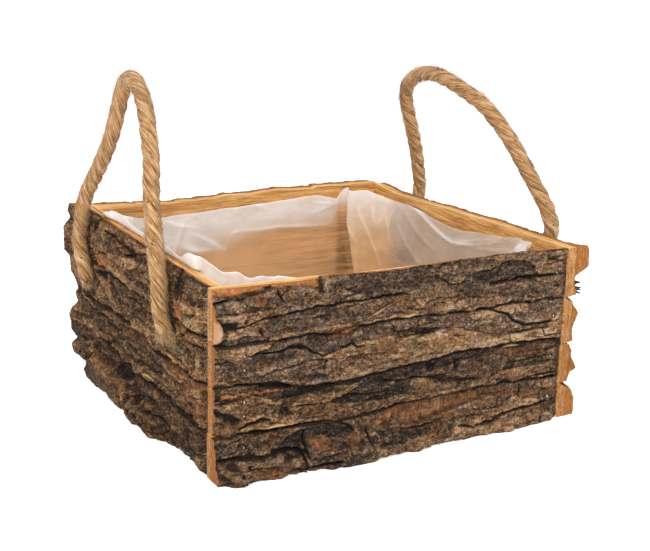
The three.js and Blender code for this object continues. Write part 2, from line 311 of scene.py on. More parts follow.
def bark_material():
    n = Nodes("bark")
    loc = n.attr("loc", True)
    cracks_and_shade, inner, pale = n.attr("cracks_and_shade"), n.attr("inner"), n.attr("pale")
    tone, moss, warm = n.attr("tone"), n.attr("moss"), n.attr("warm")
    blotch = n.noise(n.scale(loc, (0.07, 0.12, 0.15)), detail=4, rough=0.6)
    mottle = n.noise(n.scale(loc, (0.30, 0.42, 0.44)), detail=5, rough=0.68)
    speck = n.noise(n.scale(loc, (0.62, 0.8, 0.8)), detail=3, rough=0.7)
    grain = n.noise(n.scale(loc, (1.5, 1.8, 1.9)), detail=3, rough=0.7)
    hue = n.noise(n.scale(loc, (0.10, 0.16, 0.19)), detail=4, rough=0.6)
    value = n.math("ADD", n.math("MULTIPLY", mottle, 0.33), n.math("MULTIPLY", speck, 0.32))
    value = n.math("ADD", value, n.math("MULTIPLY", grain, 0.23))
    value = n.math("ADD", value, n.math("MULTIPLY", blotch, 0.12))
    value = n.math("ADD", value, n.math("MULTIPLY", tone, 0.10))
    grey = n.ramp(value, [(0.39, (0.0052, 0.0030, 0.0019)), (0.465, (0.030, 0.0176, 0.0110)), (0.517, (0.087, 0.0520, 0.0330)),
                          (0.570, (0.192, 0.125, 0.085)), (0.65, (0.45, 0.335, 0.25))])
    brown = n.ramp(value, [(0.39, (0.0066, 0.0028, 0.0012)), (0.465, (0.041, 0.0180, 0.0067)), (0.517, (0.117, 0.0555, 0.0215)),
                           (0.570, (0.242, 0.124, 0.051)), (0.65, (0.48, 0.295, 0.155))])
    col = n.mix(n.fit(n.math("ADD", warm, hue), 0.42, 0.78), grey, brown)
    olive = n.ramp(value, [(0.39, (0.0055, 0.0037, 0.0014)), (0.465, (0.032, 0.0218, 0.0080)), (0.517, (0.091, 0.064, 0.0252)),
                           (0.570, (0.192, 0.141, 0.064)), (0.65, (0.40, 0.32, 0.175))])
    col = n.mix(n.math("MULTIPLY", moss, n.fit(mottle, 0.40, 0.60)), col, olive)
    streak = n.noise(n.scale(loc, (0.75, 0.2, 0.09)), detail=3, rough=0.6)
    rust = n.math("ADD", n.math("MULTIPLY", mottle, 0.45), n.math("MULTIPLY", streak, 0.30))
    rust = n.math("ADD", rust, n.math("MULTIPLY", grain, 0.25))
    red = n.ramp(rust, [(0.36, (0.024, 0.0088, 0.0036)), (0.45, (0.080, 0.032, 0.0125)), (0.52, (0.155, 0.067, 0.0275)),
                        (0.60, (0.265, 0.127, 0.058)), (0.72, (0.42, 0.235, 0.125))])
    inner_fac = n.fit(n.math("ADD", inner, n.math("MULTIPLY", n.math("SUBTRACT", mottle, 0.5), 1.1)), 0.22, 0.92)
    col = n.mix(inner_fac, col, red)
    bast = n.ramp(rust, [(0.38, (0.16, 0.048, 0.012)), (0.5, (0.37, 0.135, 0.044)), (0.63, (0.58, 0.29, 0.125))])
    col = n.mix(n.fit(inner, 0.84, 1.08), col, bast)
    straw = n.ramp(grain, [(0.3, (0.30, 0.155, 0.052)), (0.5, (0.52, 0.31, 0.125)), (0.7, (0.74, 0.53, 0.29))])
    stub = n.ramp(grain, [(0.3, (0.26, 0.130, 0.070)), (0.5, (0.45, 0.270, 0.175)), (0.7, (0.70, 0.51, 0.39))])
    straw = n.mix(n.fit(pale, 1.05, 1.4), straw, stub)
    col = n.mix(pale, col, straw)
    fleck = n.math("MULTIPLY", n.fit(n.noise(n.scale(loc, (1.5, 1.7, 1.8)), detail=1, rough=0.4), 0.62, 0.70),
                   n.fit(n.noise(n.scale(loc, (0.06, 0.1, 0.11)), detail=2), 0.44, 0.62))
    col = n.mix(n.math("MULTIPLY", fleck, 0.6), col, (0.38, 0.30, 0.245))
    # painted shade in cracks, holes, hollows, under ledges, under the row above and under the rope tails, along with
    # the cracks' own dark colour
    dark = n.math("MULTIPLY", cracks_and_shade, n.fit(speck, 0.35, 0.65, 1.0, 0.80))
    col = n.mix(dark, col, (0.0048, 0.0030, 0.0022))
    height = n.math("ADD", n.math("MULTIPLY", speck, 0.6), n.math("MULTIPLY", grain, 0.4))
    height = n.math("ADD", height, n.math("MULTIPLY", mottle, 0.8))
    n.set(color=col, rough=n.fit(mottle, 0.3, 0.7, 0.97, 0.78), spec=0.22, normal=n.bump(height, 0.0009, 0.95))
    return n.mat


def section_material():
    """Broken and sawn edges of the bark: layered, granular, orange-brown."""
    n = Nodes("bark_section")
    loc = n.attr("loc", True)
    layers = n.noise(n.scale(loc, (0.05, 0.9, 0.22)), detail=4, rough=0.6)
    grain = n.noise(n.scale(loc, (1.4, 1.6, 1.6)), detail=3, rough=0.7)
    value = n.math("ADD", n.math("MULTIPLY", layers, 0.55), n.math("MULTIPLY", grain, 0.45))
    col = n.ramp(value, [(0.30, (0.075, 0.020, 0.0040)), (0.43, (0.230, 0.078, 0.0160)), (0.54, (0.360, 0.140, 0.0350)),
                         (0.68, (0.540, 0.270, 0.0900))])
    col = n.mix(n.attr("pale"), col, (0.47, 0.25, 0.12))
    # painted shade on the sawn ends
    col = n.mix(n.math("MULTIPLY", n.attr("end_shade"), 0.55), col, n.ramp(grain, [(0.36, (0.040, 0.013, 0.003)), (0.62, (0.22, 0.078, 0.016))]))
    # painted shade in the joints between rows
    col = n.mix(n.attr("cracks_and_shade"), col, (0.018, 0.011, 0.007))
    n.set(color=col, rough=0.88, spec=0.25, normal=n.bump(value, 0.0007, 0.9))
    return n.mat


def wood_material(name, end=False, aged=0.0):
    n = Nodes(name)
    k = (0.66, 0.53, 0.46) if end else (1.09, 1.03, 0.96)
    tint = lambda *c: tuple(a * b for a, b in zip(c, k))
    loc = n.attr("loc", True)
    if end:
        rings = n.noise(n.scale(loc, (0.02, 0.85, 0.10)), detail=2, rough=0.5, distort=0.6)
        fibre = n.noise(n.scale(loc, (1.2, 2.6, 1.1)), detail=3, rough=0.65)
    else:
        rings = n.noise(n.scale(loc, (0.014, 0.30, 0.30)), detail=3, rough=0.6, distort=1.1)
        fibre = n.noise(n.scale(loc, (0.075, 1.5, 1.5)), detail=4, rough=0.68)
    broad = n.noise(n.scale(loc, (0.016, 0.05, 0.05)), detail=3, rough=0.55)
    value = n.math("ADD", n.math("MULTIPLY", rings, 0.5), n.math("MULTIPLY", fibre, 0.5))
    stops = (0.40, 0.465, 0.52, 0.60) if end else (0.36, 0.45, 0.53, 0.65)
    col = n.ramp(value, list(zip(stops, (tint(0.21, 0.085, 0.020), tint(0.51, 0.258, 0.078), tint(0.715, 0.42, 0.158), tint(0.90, 0.645, 0.33)))))
    col = n.mix(n.fit(broad, 0.42, 0.7, 0.0, 0.36), col, (0.30, 0.125, 0.033) if end else (0.47, 0.225, 0.068))
    if aged:
        grey = n.mix(n.fit(fibre, 0.35, 0.65), (0.20, 0.115, 0.055), (0.47, 0.31, 0.175))
        col = n.mix(n.math("MULTIPLY", n.fit(broad, 0.35, 0.6), aged), col, grey)
    streak = n.fit(n.noise(n.scale(loc, (0.03, 0.9, 0.9)), detail=2, rough=0.5), 0.57, 0.70)
    col = n.mix(n.math("MULTIPLY", streak, 0.72), col, (0.20, 0.080, 0.022))
    if end:
        # painted shade on the sawn end
        col = n.mix(n.attr("end_shade"), col, n.ramp(fibre, [(0.35, (0.16, 0.050, 0.008)), (0.65, (0.42, 0.175, 0.040))]))
    else:
        # stains, painted shade and painted highlight on the inner wood
        stain_and_light = n.math("MULTIPLY", n.attr("stain_and_light"), n.fit(value, 0.38, 0.60, 1.25, 0.6))
        col = n.mix(n.fit(stain_and_light, 0.0, 1.0), col, (0.115, 0.046, 0.015))
        col = n.mix(n.fit(n.math("MULTIPLY", stain_and_light, -1.0), 0.0, 1.0), col, (0.86, 0.565, 0.265))
    n.set(color=col, rough=n.fit(fibre, 0.3, 0.7, 0.78, 0.58), spec=0.3, normal=n.bump(value, 0.0011 if end else 0.0005, 0.8))
    return n.mat


def rope_material():
    n = Nodes("jute_rope")
    yarn = n.attr("yarn", True)
    fine = n.noise(n.scale(yarn, (1.9, 1.9, 0.10)), detail=3, rough=0.65)
    wide = n.noise(n.scale(yarn, (0.75, 0.75, 0.06)), detail=3, rough=0.6)
    patch = n.noise(n.scale(yarn, (0.12, 0.12, 0.05)), detail=2)
    value = n.math("ADD", n.math("MULTIPLY", fine, 0.5), n.math("MULTIPLY", wide, 0.35))
    value = n.math("ADD", value, n.math("MULTIPLY", patch, 0.15))
    col = n.ramp(value, [(0.37, (0.066, 0.025, 0.007)), (0.45, (0.255, 0.126, 0.044)), (0.52, (0.455, 0.252, 0.106)),
                         (0.62, (0.78, 0.52, 0.295))])
    chaff = n.fit(n.noise(n.scale(yarn, (1.1, 1.1, 0.35)), detail=1, rough=0.4), 0.66, 0.72)
    col = n.mix(n.math("MULTIPLY", chaff, 0.8), col, (0.060, 0.026, 0.011))
    # painted shade in the valleys between the strands, broken up by noise
    valley_shade = n.math("MULTIPLY", n.attr("cracks_and_shade"), n.fit(n.noise(n.scale(yarn, (0.5, 0.5, 0.22)), detail=3, rough=0.6), 0.36, 0.60, 0.5, 1.0))
    col = n.mix(valley_shade, col, (0.062, 0.026, 0.008))
    n.set(color=col, rough=0.85, spec=0.2, normal=n.bump(value, 0.0011, 0.95), sheen=0.15, sheen_rough=0.5)
    return n.mat


def fibre_material():
    n = Nodes("jute_fibre")
    tint = n.attr("tint")
    col = n.ramp(tint, [(0.0, (0.17, 0.080, 0.030)), (0.5, (0.44, 0.25, 0.113)), (1.0, (0.76, 0.54, 0.325))])
    n.set(color=col, rough=0.7, spec=0.3)
    return n.mat


def steel_material():
    n = Nodes("steel_wire")
    loc = n.new("ShaderNodeTexCoord").outputs["Object"]
    wear_and_highlight = n.noise(loc, scale=900, detail=3)
    n.set(color=n.ramp(wear_and_highlight, [(0.35, (0.55, 0.54, 0.52)), (0.65, (0.80, 0.79, 0.77))]), metal=1.0,
          rough=n.fit(wear_and_highlight, 0.3, 0.7, 0.18, 0.36), normal=n.bump(wear_and_highlight, 0.00008, 0.5))
    return n.mat


def film_material():
    """Thin milky film: nearly clear where it lies on the wood, white where it is doubled or stands away."""
    n = Nodes("liner_film")
    loc = n.attr("loc", True)
    haze, fold, tint, shade = n.attr("haze"), n.attr("fold"), n.attr("tint"), n.attr("shade")
    cloud = n.noise(n.scale(loc, (0.035, 0.035, 0.06)), detail=3, rough=0.5)
    alpha = n.math("MULTIPLY", haze, n.fit(cloud, 0.3, 0.7, 0.82, 1.18))
    # milkier where the film bends: a painted highlight on folds
    alpha = n.math("ADD", alpha, n.math("MULTIPLY", fold, 0.12))
    alpha = n.math("MINIMUM", n.math("MAXIMUM", alpha, 0.015), 0.9)
    wave = n.noise(n.scale(loc, (0.09, 0.09, 0.07)), detail=3, rough=0.5, distort=0.8)
    crinkle = n.noise(n.scale(loc, (0.35, 0.35, 0.22)), detail=2, rough=0.5, distort=1.2)
    height = n.math("ADD", wave, n.math("MULTIPLY", crinkle, 0.12))
    col = n.mix(cloud, (0.945, 0.905, 0.88), (0.985, 0.95, 0.93))
    col = n.mix(tint, col, n.mix(cloud, (0.84, 0.55, 0.29), (0.95, 0.67, 0.40)))
    col = n.mix(shade, col, (0.66, 0.63, 0.59))
    n.set(color=col, rough=0.28, spec=0.55, alpha=alpha,
          normal=n.bump(height, 0.0016, 0.5))
    return n.mat


BARK, SECTION = bark_material(), section_material()
WOOD, WOOD_END, WOOD_OLD = wood_material("split_wood"), wood_material("sawn_end", end=True), wood_material("board_wood", aged=0.5)
ROPE, FIBRE, STEEL, FILM = rope_material(), fibre_material(), steel_material(), film_material()

# ---------------------------------------------------------------- ropes
HINGE_X, HINGE_Z, ROPE_R, TAIL_X = 142.5, 124.0, 5.25, 141.6
LEFT_ARCH = [(-66.5, 0), (-61, 8), (-55.4, 19), (-49.4, 30), (-45.3, 41), (-42.2, 53), (-36.5, 64), (-29, 75),
             (-20.6, 86), (-9.7, 94.5), (3.2, 100.6), (13.2, 101.6), (22.6, 96.2), (27.8, 86.9), (32, 74.9),
             (38.6, 61.1), (48.8, 46.4), (60.2, 34), (72.3, 22.4), (82.2, 11), (87.8, 0)]
RIGHT_ARCH = [(82, 0), (79.6, 6), (75.8, 16.3), (71, 30), (67.4, 43.2), (64.6, 56.1), (62.2, 68.8), (59.3, 80.1),
              (52.8, 90.4), (40.6, 99.3), (26.6, 104.8), (11.6, 107.4), (-1.4, 107), (-14.7, 103.9), (-29.9, 98.3),
              (-44.5, 92.4), (-54.6, 85), (-62.5, 76.2), (-69.7, 66.4), (-75.8, 54.3), (-81.5, 40.9), (-86.4, 29.7),
              (-90.6, 18.5), (-92, 8.7), (-91, 0)]
LEFT_TAIL_FRONT = [(-67, 113.1), (-69.2, 103.6), (-70.2, 89.2), (-77.5, 79.5)]
LEFT_TAIL_BACK = [(93.4, 114.6), (97.6, 106), (100, 97.3), (96.2, 86.5), (88, 77.5), (83.7, 68.5)]
RIGHT_TAIL_FRONT = [(-89.4, 113.2), (-87.2, 102), (-86.6, 90), (-89.5, 78), (-93, 70.5)]
RIGHT_TAIL_BACK = [(83, 113.1), (85.4, 102), (86, 90), (82, 79), (77, 72)]
LAY_PITCH = 34.0


def rope_path(side, arch, tilt, first, last):
    """Points of one rope from the end of its first tail, over the arch, to the end of its last tail."""
    t = math.radians(tilt)
    pts = [(side * TAIL_X, y, z) for y, z in first[::-1]]
    pts += [(side * (HINGE_X - h * math.sin(t)), y, HINGE_Z + h * math.cos(t)) for y, h in arch]
    pts += [(side * TAIL_X, y, z) for y, z in last]
    pts = np.array(pts, float)
    # a smooth curve through the points
    out = []
    ext = np.vstack([2 * pts[0] - pts[1], pts, 2 * pts[-1] - pts[-2]])
    for i in range(1, len(ext) - 2):
        p0, p1, p2, p3 = ext[i - 1:i + 3]
        t01, t12, t23 = (max(np.linalg.norm(b - a), 1e-3) ** 0.5 for a, b in ((p0, p1), (p1, p2), (p2, p3)))
        m1 = (p2 - p1) + t12 * ((p1 - p0) / t01 - (p2 - p0) / (t01 + t12))
        m2 = (p2 - p1) + t12 * ((p3 - p2) / t23 - (p3 - p1) / (t12 + t23))
        for u in np.linspace(0, 1, 24, endpoint=False):
            out.append((2 * u ** 3 - 3 * u ** 2 + 1) * p1 + (u ** 3 - 2 * u ** 2 + u) * m1
                       + (-2 * u ** 3 + 3 * u ** 2) * p2 + (u ** 3 - u ** 2) * m2)
    out.append(pts[-1])
    out = np.array(out)
    d = np.concatenate([[0], np.cumsum(np.linalg.norm(np.diff(out, axis=0), axis=1))])
    n = int(round(d[-1] / 0.9))
    at = np.linspace(0, d[-1], n + 1)
    path = np.stack([np.interp(at, d, out[:, k]) for k in range(3)], 1)
    for _ in range(6):
        path[1:-1] = 0.25 * path[:-2] + 0.5 * path[1:-1] + 0.25 * path[2:]
    return path


def frames(path):
    """Tangents and two turning-free side vectors along a path."""
    tan = np.gradient(path, axis=0)
    tan /= np.linalg.norm(tan, axis=1)[:, None]
    a = np.zeros_like(path)
    v = np.cross(tan[0], [1.0, 0.2, 0.1])
    v /= np.linalg.norm(v)
    for i, tv in enumerate(tan):
        v = v - tv * (v @ tv)
        v /= np.linalg.norm(v)
        a[i] = v
    return tan, a, np.cross(tan, a)


def tube_faces(rings, sides, base=0, close=True):
    i, j = np.meshgrid(np.arange(rings - 1), np.arange(sides), indexing="ij")
    a = base + i * sides + j
    b = base + i * sides + (j + 1) % sides
    quads = np.stack([a, b, b + sides, a + sides], -1).reshape(-1, 4)
    return quads


def make_rope(name, path, seed, splay):
    """A three-strand laid rope. splay gives, for each end, how far the strands part and how long that end is."""
    tan, a, b = frames(path)
    n = len(path)
    run = np.concatenate([[0], np.cumsum(np.linalg.norm(np.diff(path, axis=0), axis=1))])
    total = run[-1]
    sides = 30
    phi = np.arange(sides) / sides * TAU
    verts, faces, tris, yarn, cracks_and_shade, marks = [], [], [], [], [], []
    strand_ends = []
    base = 0
    for k in range(3):
        turn = -TAU * run / LAY_PITCH + TAU * k / 3 + 0.35 * fbm(run / 55, 0.5 + seed, seed, 2)
        swell = 1 + 0.05 * noise(run / 17, 3.1 * k, seed + 5) + 0.03 * noise(run / 5, 7.7 * k, seed + 6)
        ro = 1.82 * (1 + 0.08 * noise(run / 23, 5.5 * k, seed + 8))
        rs = 3.72 * swell
        off = ro[:, None] * (np.cos(turn)[:, None] * a + np.sin(turn)[:, None] * b)
        shift = np.zeros_like(off)
        thin = np.ones(n)
        for end, (spread, length, trim) in enumerate(splay):
            dist = run if end == 0 else total - run
            w = smooth(length, 0, dist)
            aim = spread[k]
            shift += w[:, None] ** 1.5 * np.array(aim)[None, :]
            thin *= 1 - 0.38 * smooth(trim, 0, dist)
        centre = path + off + shift
        ct = np.gradient(centre, axis=0)
        ct /= np.linalg.norm(ct, axis=1)[:, None]
        e1 = np.cos(turn)[:, None] * a + np.sin(turn)[:, None] * b
        e1 = e1 - ct * np.sum(e1 * ct, axis=1)[:, None]
        e1 /= np.linalg.norm(e1, axis=1)[:, None]
        e2 = np.cross(ct, e1)
        twist = -TAU * run / 85.0
        ph = phi[None, :]
        yarns = 0.20 * np.abs(np.sin(3.5 * (ph + twist[:, None]))) \
            + 0.16 * noise(1.7 * np.cos(ph + twist[:, None]) + run[:, None] / 19, 1.7 * np.sin(ph + twist[:, None]) + 3 * k, seed + 9) \
            + 0.12 * noise(5 * np.cos(ph + twist[:, None]) + run[:, None] / 40, 5 * np.sin(ph + twist[:, None]) + run[:, None] / 31, seed + 10)
        r = (rs * thin)[:, None] + yarns - 0.08
        ring = centre[:, None, :] + r[..., None] * (np.cos(ph)[..., None] * e1[:, None, :] * 0.97 + np.sin(ph)[..., None] * e2[:, None, :] * 1.04)
        verts.append(ring.reshape(-1, 3))
        faces.append(tube_faces(n, sides, base))
        start, finish = base + n * sides, base + n * sides + 1
        verts.append(np.array([centre[0] - ct[0] * 0.8, centre[-1] + ct[-1] * 0.8]))
        j = np.arange(sides)
        tris.append(np.stack([np.full(sides, start), base + (j + 1) % sides, base + j], 1))
        last = base + (n - 1) * sides
        tris.append(np.stack([np.full(sides, finish), last + j, last + (j + 1) % sides], 1))
        y = np.stack([3 * np.cos(ph + twist[:, None]) + 20 * k, 3 * np.sin(ph + twist[:, None]) + 0 * run[:, None],
                      np.broadcast_to(run[:, None], (n, sides))], -1)
        yarn.append(y.reshape(-1, 3))
        yarn.append(np.array([[20 * k, 0, 0], [20 * k, 0, total]], float))
        # painted shade in the valleys where the strands meet
        side_on = smooth(0.52, 0.04, np.cos(ph)) * np.ones((n, 1))
        cracks_and_shade.append(side_on.ravel())
        cracks_and_shade.append(np.array([0.5, 0.5]))
        strand_ends.append((centre, ct, e1, e2, rs * thin))
        base += n * sides + 2
    obj = build(name, np.vstack(verts), [np.vstack(faces), np.vstack(tris)], [ROPE],
                attrs={"yarn": np.vstack(yarn), "cracks_and_shade": np.concatenate(cracks_and_shade)})
    return obj, strand_ends, run


def hair_mesh(name, roots, dirs, bends, lengths, radii, tints, material=None):
    """Thin tapering three-sided fibres, each bending steadily."""
    steps = 5
    roots, dirs, bends = (np.asarray(v, float) for v in (roots, dirs, bends))
    m = len(roots)
    dirs = dirs / np.linalg.norm(dirs, axis=1)[:, None]
    t = np.linspace(0, 1, steps)
    L = np.asarray(lengths)[:, None, None]
    pts = roots[:, None, :] + L * (t[None, :, None] * dirs[:, None, :] + (t[None, :, None] ** 2) * bends[:, None, :])
    tang = np.gradient(pts, axis=1)
    tang /= np.linalg.norm(tang, axis=2)[..., None] + 1e-9
    ref = np.where(np.abs(tang[..., 2:3]) > 0.9, np.array([1.0, 0, 0]), np.array([0, 0, 1.0]))
    p = np.cross(tang, ref)
    p /= np.linalg.norm(p, axis=2)[..., None] + 1e-9
    q = np.cross(tang, p)
    rad = np.asarray(radii)[:, None] * (1 - 0.75 * t[None, :])
    ang = np.arange(3) / 3 * TAU
    ring = pts[:, :, None, :] + rad[:, :, None, None] * (np.cos(ang)[None, None, :, None] * p[:, :, None, :]
                                                        + np.sin(ang)[None, None, :, None] * q[:, :, None, :])
    verts = ring.reshape(-1, 3)
    base = (np.arange(m) * steps * 3)[:, None, None]
    i, j = np.meshgrid(np.arange(steps - 1), np.arange(3), indexing="ij")
    a0 = i * 3 + j
    b0 = i * 3 + (j + 1) % 3
    quad = np.stack([a0, b0, b0 + 3, a0 + 3], -1).reshape(1, -1, 4) + base
    e = (steps - 1) * 3
    caps = np.array([[[2, 1, 0], [e, e + 1, e + 2]]]) + base
    tint = np.repeat(np.asarray(tints), steps * 3)
    return build(name, verts, [quad.reshape(-1, 4), caps.reshape(-1, 3)], [material or FIBRE], attrs={"tint": tint})


def rope_fuzz(name, strands, run, count, seed, brushes, tufts):
    """Loose fibres all along a rope, brushes of fibre at its cut ends, and single tufts: (part of the way, aim)."""
    rng = np.random.default_rng(seed)
    roots, dirs, bends, lens, rads, tints = [], [], [], [], [], []
    n = len(run)
    for _ in range(count):
        centre, ct, e1, e2, rs = strands[rng.integers(3)]
        i = rng.integers(3, n - 3)
        ph = rng.uniform(-1.9, 1.9)
        out = math.cos(ph) * e1[i] + math.sin(ph) * e2[i]
        way = 1 if rng.random() < 0.5 else -1
        d = ct[i] * way * rng.uniform(0.6, 1.0) + out * rng.uniform(0.08, 0.42) + rng.normal(0, 0.15, 3)
        roots.append(centre[i] + out * rs[i] * 0.97)
        dirs.append(d)
        bends.append(rng.normal(0, 0.22, 3) - out * rng.uniform(-0.05, 0.3))
        lens.append(rng.choice([rng.uniform(2.0, 5.0), rng.uniform(4.0, 8.0)], p=[0.85, 0.15]))
        rads.append(rng.uniform(0.06, 0.125))
        tints.append(rng.random())
    for part, aim in tufts:
        i = int(part * (n - 1))
        for _ in range(7):
            centre, ct, e1, e2, rs = strands[rng.integers(3)]
            mid = (strands[0][0][i] + strands[1][0][i] + strands[2][0][i]) / 3
            roots.append(mid + np.array(aim) * 5.0 + rng.normal(0, 0.5, 3))
            dirs.append(np.array(aim) + rng.normal(0, 0.45, 3))
            bends.append(rng.normal(0, 0.7, 3))
            lens.append(rng.uniform(2.5, 5.5))
            rads.append(rng.uniform(0.12, 0.2))
            tints.append(rng.uniform(0.0, 0.4))
    for end, aims, amount, reach in brushes:
        for k, (centre, ct, e1, e2, rs) in enumerate(strands):
            i = 0 if end == 0 else n - 1
            t = -ct[i] if end == 0 else ct[i]
            for _ in range(amount):
                ph, rr = rng.uniform(0, TAU), math.sqrt(rng.random())
                side = math.cos(ph) * e1[i] + math.sin(ph) * e2[i]
                roots.append(centre[i] + side * rr * rs[i] * 0.95 - t * rng.uniform(0.3, 3.0))
                dirs.append(t + side * rr * 0.32 + np.array(aims[k]) + rng.normal(0, 0.10, 3))
                bends.append(rng.normal(0, 0.16, 3))
                lens.append(rng.uniform(0.45, 1.0) * reach)
                rads.append(rng.uniform(0.10, 0.22))
                tints.append(rng.uniform(0.2, 1.0))
    return hair_mesh(name, roots, dirs, bends, lens, rads, tints)


ROPES = {
    "left": (-1, LEFT_ARCH, 7, LEFT_TAIL_FRONT, LEFT_TAIL_BACK, ("left_handle_tail_front", "left_handle_tail_back")),
    "right": (1, RIGHT_ARCH, 23, RIGHT_TAIL_BACK, RIGHT_TAIL_FRONT, ("right_handle_tail_back", "right_handle_tail_front")),
}
for which, (side, arch, tilt, first, last, tail_nodes) in ROPES.items():
    path = rope_path(side, arch, tilt, first, last)
    if which == "left":
        splay = [(((0, 4.0, -1.0), (0, -2.6, -0.8), (0, -2.4, -2.2)), 20, 6), (((0, 1.8, 0), (0, -1.8, 0), (0, 0, 0)), 12, 5)]
        brushes = [(0, ((0, 0.40, -0.1), (0, -0.40, 0), (0, -0.55, -0.1)), 210, 8.0), (1, ((0, 0.1, 0), (0, -0.1, 0), (0, 0, 0)), 90, 5.0)]
    else:
        splay = [(((0, 1.6, 0), (0, -1.6, 0), (0, 0, -0.8)), 11, 4), (((0, 1.4, 0), (0, -1.8, 0), (0, 0.2, -0.6)), 11, 4)]
        brushes = [(0, ((0, 0.1, 0), (0, -0.1, 0), (0, 0, 0)), 60, 4.0), (1, ((0, 0.1, 0), (0, -0.1, 0), (0, 0, 0)), 60, 4.0)]
    rope, strands, run = make_rope(which + "_rope", path, 40 + side, splay)
    tufts = [] if which == "left" else [(np.argmax(path[:, 2]) / len(path) + 0.025, (-0.2, 0.1, 1.0)), (0.31, (0.1, -1.0, -0.2)), (0.755, (0.1, -0.9, 0.5))]
    fuzz = rope_fuzz(which + "_rope_fibres", strands, run, 6400, 900 + side, brushes, tufts)
    lo, hi = (side * HINGE_X * MM, 0, 0.114), (side * HINGE_X * MM, 0, 0.134)
    for piece in (rope, fuzz):
        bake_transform(piece)
    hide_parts(which + "_handle_arch", *tail_nodes)
    print("rope", which, "length mm", round(float(run[-1]), 1))

# ---------------------------------------------------------------- slats
HALF, WOOD_T = 123.0, 6.0
X0, X1 = -135.0, 122.7
NX, NZ, COARSE = 517, 61, 4
ROWS = [(86.6, 118.0), (57.8, 86.2), (29.0, 57.4), (0.0, 28.6)]
WALLS = {"front": 0, "right": 1, "back": 2, "left": 3}


def to_world(wall, P):
    """Wall frame (along, outward from the inner face, up) to the object's frame."""
    x, u, z = P[..., 0], P[..., 1], P[..., 2]
    y = -(HALF + u)
    k = WALLS[wall]
    wx, wy = ((x, y), (-y, x), (-x, -y), (y, -x))[k]
    return np.stack([wx, wy, z], -1)


# Edges between the bark of one row and the next, along each wall.
SEAMS = {
    "front": [
        [(-135, 85.3), (-123, 84.6), (-104, 84.9), (-87, 85.1), (-70, 85.8), (-54, 84.2), (-38, 86.7), (-19, 87.9), (10, 87.7),
         (21, 86.6), (46, 86.8), (60, 86.5), (68, 88), (84, 88.2), (94, 86.7), (105, 88), (122.7, 86.8)],
        [(-135, 60.8), (-117, 60.7), (-104, 59.4), (-94, 59), (-84, 55.5), (-77, 52.4), (-53, 51.9), (-30, 54), (0, 56), (20, 57.5),
         (34, 60.0), (54, 60.3), (74, 60.1), (90, 59.7), (107, 59), (122.7, 57.8)],
        [(-135, 29), (-126, 27.8), (-119, 29.6), (-105.6, 28), (-94, 29.2), (-77, 28.7), (-52.6, 26.7), (-20, 28.5), (0, 30.5),
         (30, 31.5), (52, 32.3), (74, 33.1), (86, 32.1), (97, 32.7), (122.7, 30.8)]],
    "left": [
        [(-135, 82.5), (-80, 84.2), (-30, 84.6), (10, 83.6), (60, 86.6), (122.7, 87.6)],
        [(-135, 55.0), (-70, 55.4), (-20, 58.4), (40, 57.0), (90, 58.0), (122.7, 59.2)],
        [(-135, 28.0), (-60, 29.5), (0, 27.4), (60, 30.4), (122.7, 30.0)]],
    "right": [
        [(-135, 86.0), (-112, 86.6), (-60, 86.0), (0, 87.4), (70, 84.4), (122.7, 84.0)],
        [(-135, 53.2), (-122, 54.6), (-100, 57.6), (-50, 58.6), (20, 56.4), (80, 58.8), (122.7, 60.0)],
        [(-135, 25.0), (-122, 26.2), (-100, 28.4), (-70, 27.2), (10, 29.8), (122.7, 27.6)]],
    "back": [
        [(-135, 84.0), (-70, 86.8), (0, 85.2), (60, 88.0), (122.7, 87.2)],
        [(-135, 58.8), (-60, 56.6), (10, 58.8), (80, 55.6), (122.7, 56.4)],
        [(-135, 29.6), (-40, 28.0), (40, 30.4), (122.7, 27.8)]],
}
WOOD_TOP = {"front": (118.6, 119.6), "left": (118.4, 118.2), "right": (122.2, 118.0), "back": (120.9, 115.4)}
RIM = {   # height of the wood's top along the wall
    "back": [(-135, 116.8), (-128, 120.0), (-120, 121.5), (-104, 121.6), (-89, 121.0), (-66.5, 121.5), (-64.5, 119.8), (-51, 120.2), (-36, 121.0), (-20, 120.5), (-8, 119.2),
             (6, 119.3), (13, 119.6), (20, 118.6), (41, 117.7), (54, 117.8), (57, 116.8), (62, 116.8), (84, 118.3), (88.5, 118.3), (90, 117.3), (95.5, 118.4), (122.7, 118.8)],
    "right": [(-135, 122.9), (-49, 122.8), (-39, 122.4), (-18, 121.6), (13, 121.2), (30, 120.2), (84, 118.9), (97, 119.6), (110, 120.6), (117, 121.2), (122.7, 121.2)],
}
BASE = {"front": (7.4, 7.2, 6.6, 7.6), "left": (6.2, 6.2, 6.6, 6.8), "right": (5.6, 5.2, 5.6, 6.0), "back": (6.4, 6.8, 6.2, 7.0)}
RED = {"front": (-0.35, -0.05, 0.10, 0.22), "left": (-0.30, -0.10, 0.0, -0.05), "right": (0.0, 0.1, -0.1, 0.15), "back": (-0.1, 0.1, 0.0, 0.2)}
WARM = {"front": 0.10, "left": 0.40, "right": 0.15, "back": 0.2}
TONE = {"front": (0.0, 0.1, -0.28, -0.34), "left": (0.05, 0.05, -0.25, -0.35), "right": (0.0, 0.05, -0.15, -0.2), "back": (0.05, 0.0, -0.1, -0.2)}
CHUNKY = {"front": 1.0, "left": 1.3, "right": 1.1, "back": 1.3}
RIBBED = [(57, 123), (102, 121), (104, 100), (59, 105)]
SHADE = {"front": (0, 0.28, 0.62, 0.34), "left": (0, 0.40, 0.45, 0.45), "right": (0, 0.3, 0.3, 0.3), "back": (0, 0.3, 0.3, 0.3)}   # under the row above
END_SHADE = {"front": (0.0, 0.66, 0.72, 0.5), "right": (0.10, 0.45, 1.0, 0.12), "back": (0.2, 0.4, 0.1, 0.3), "left": (0.1, 0.3, 0.4, 0.2)}   # painted shade on each sawn end
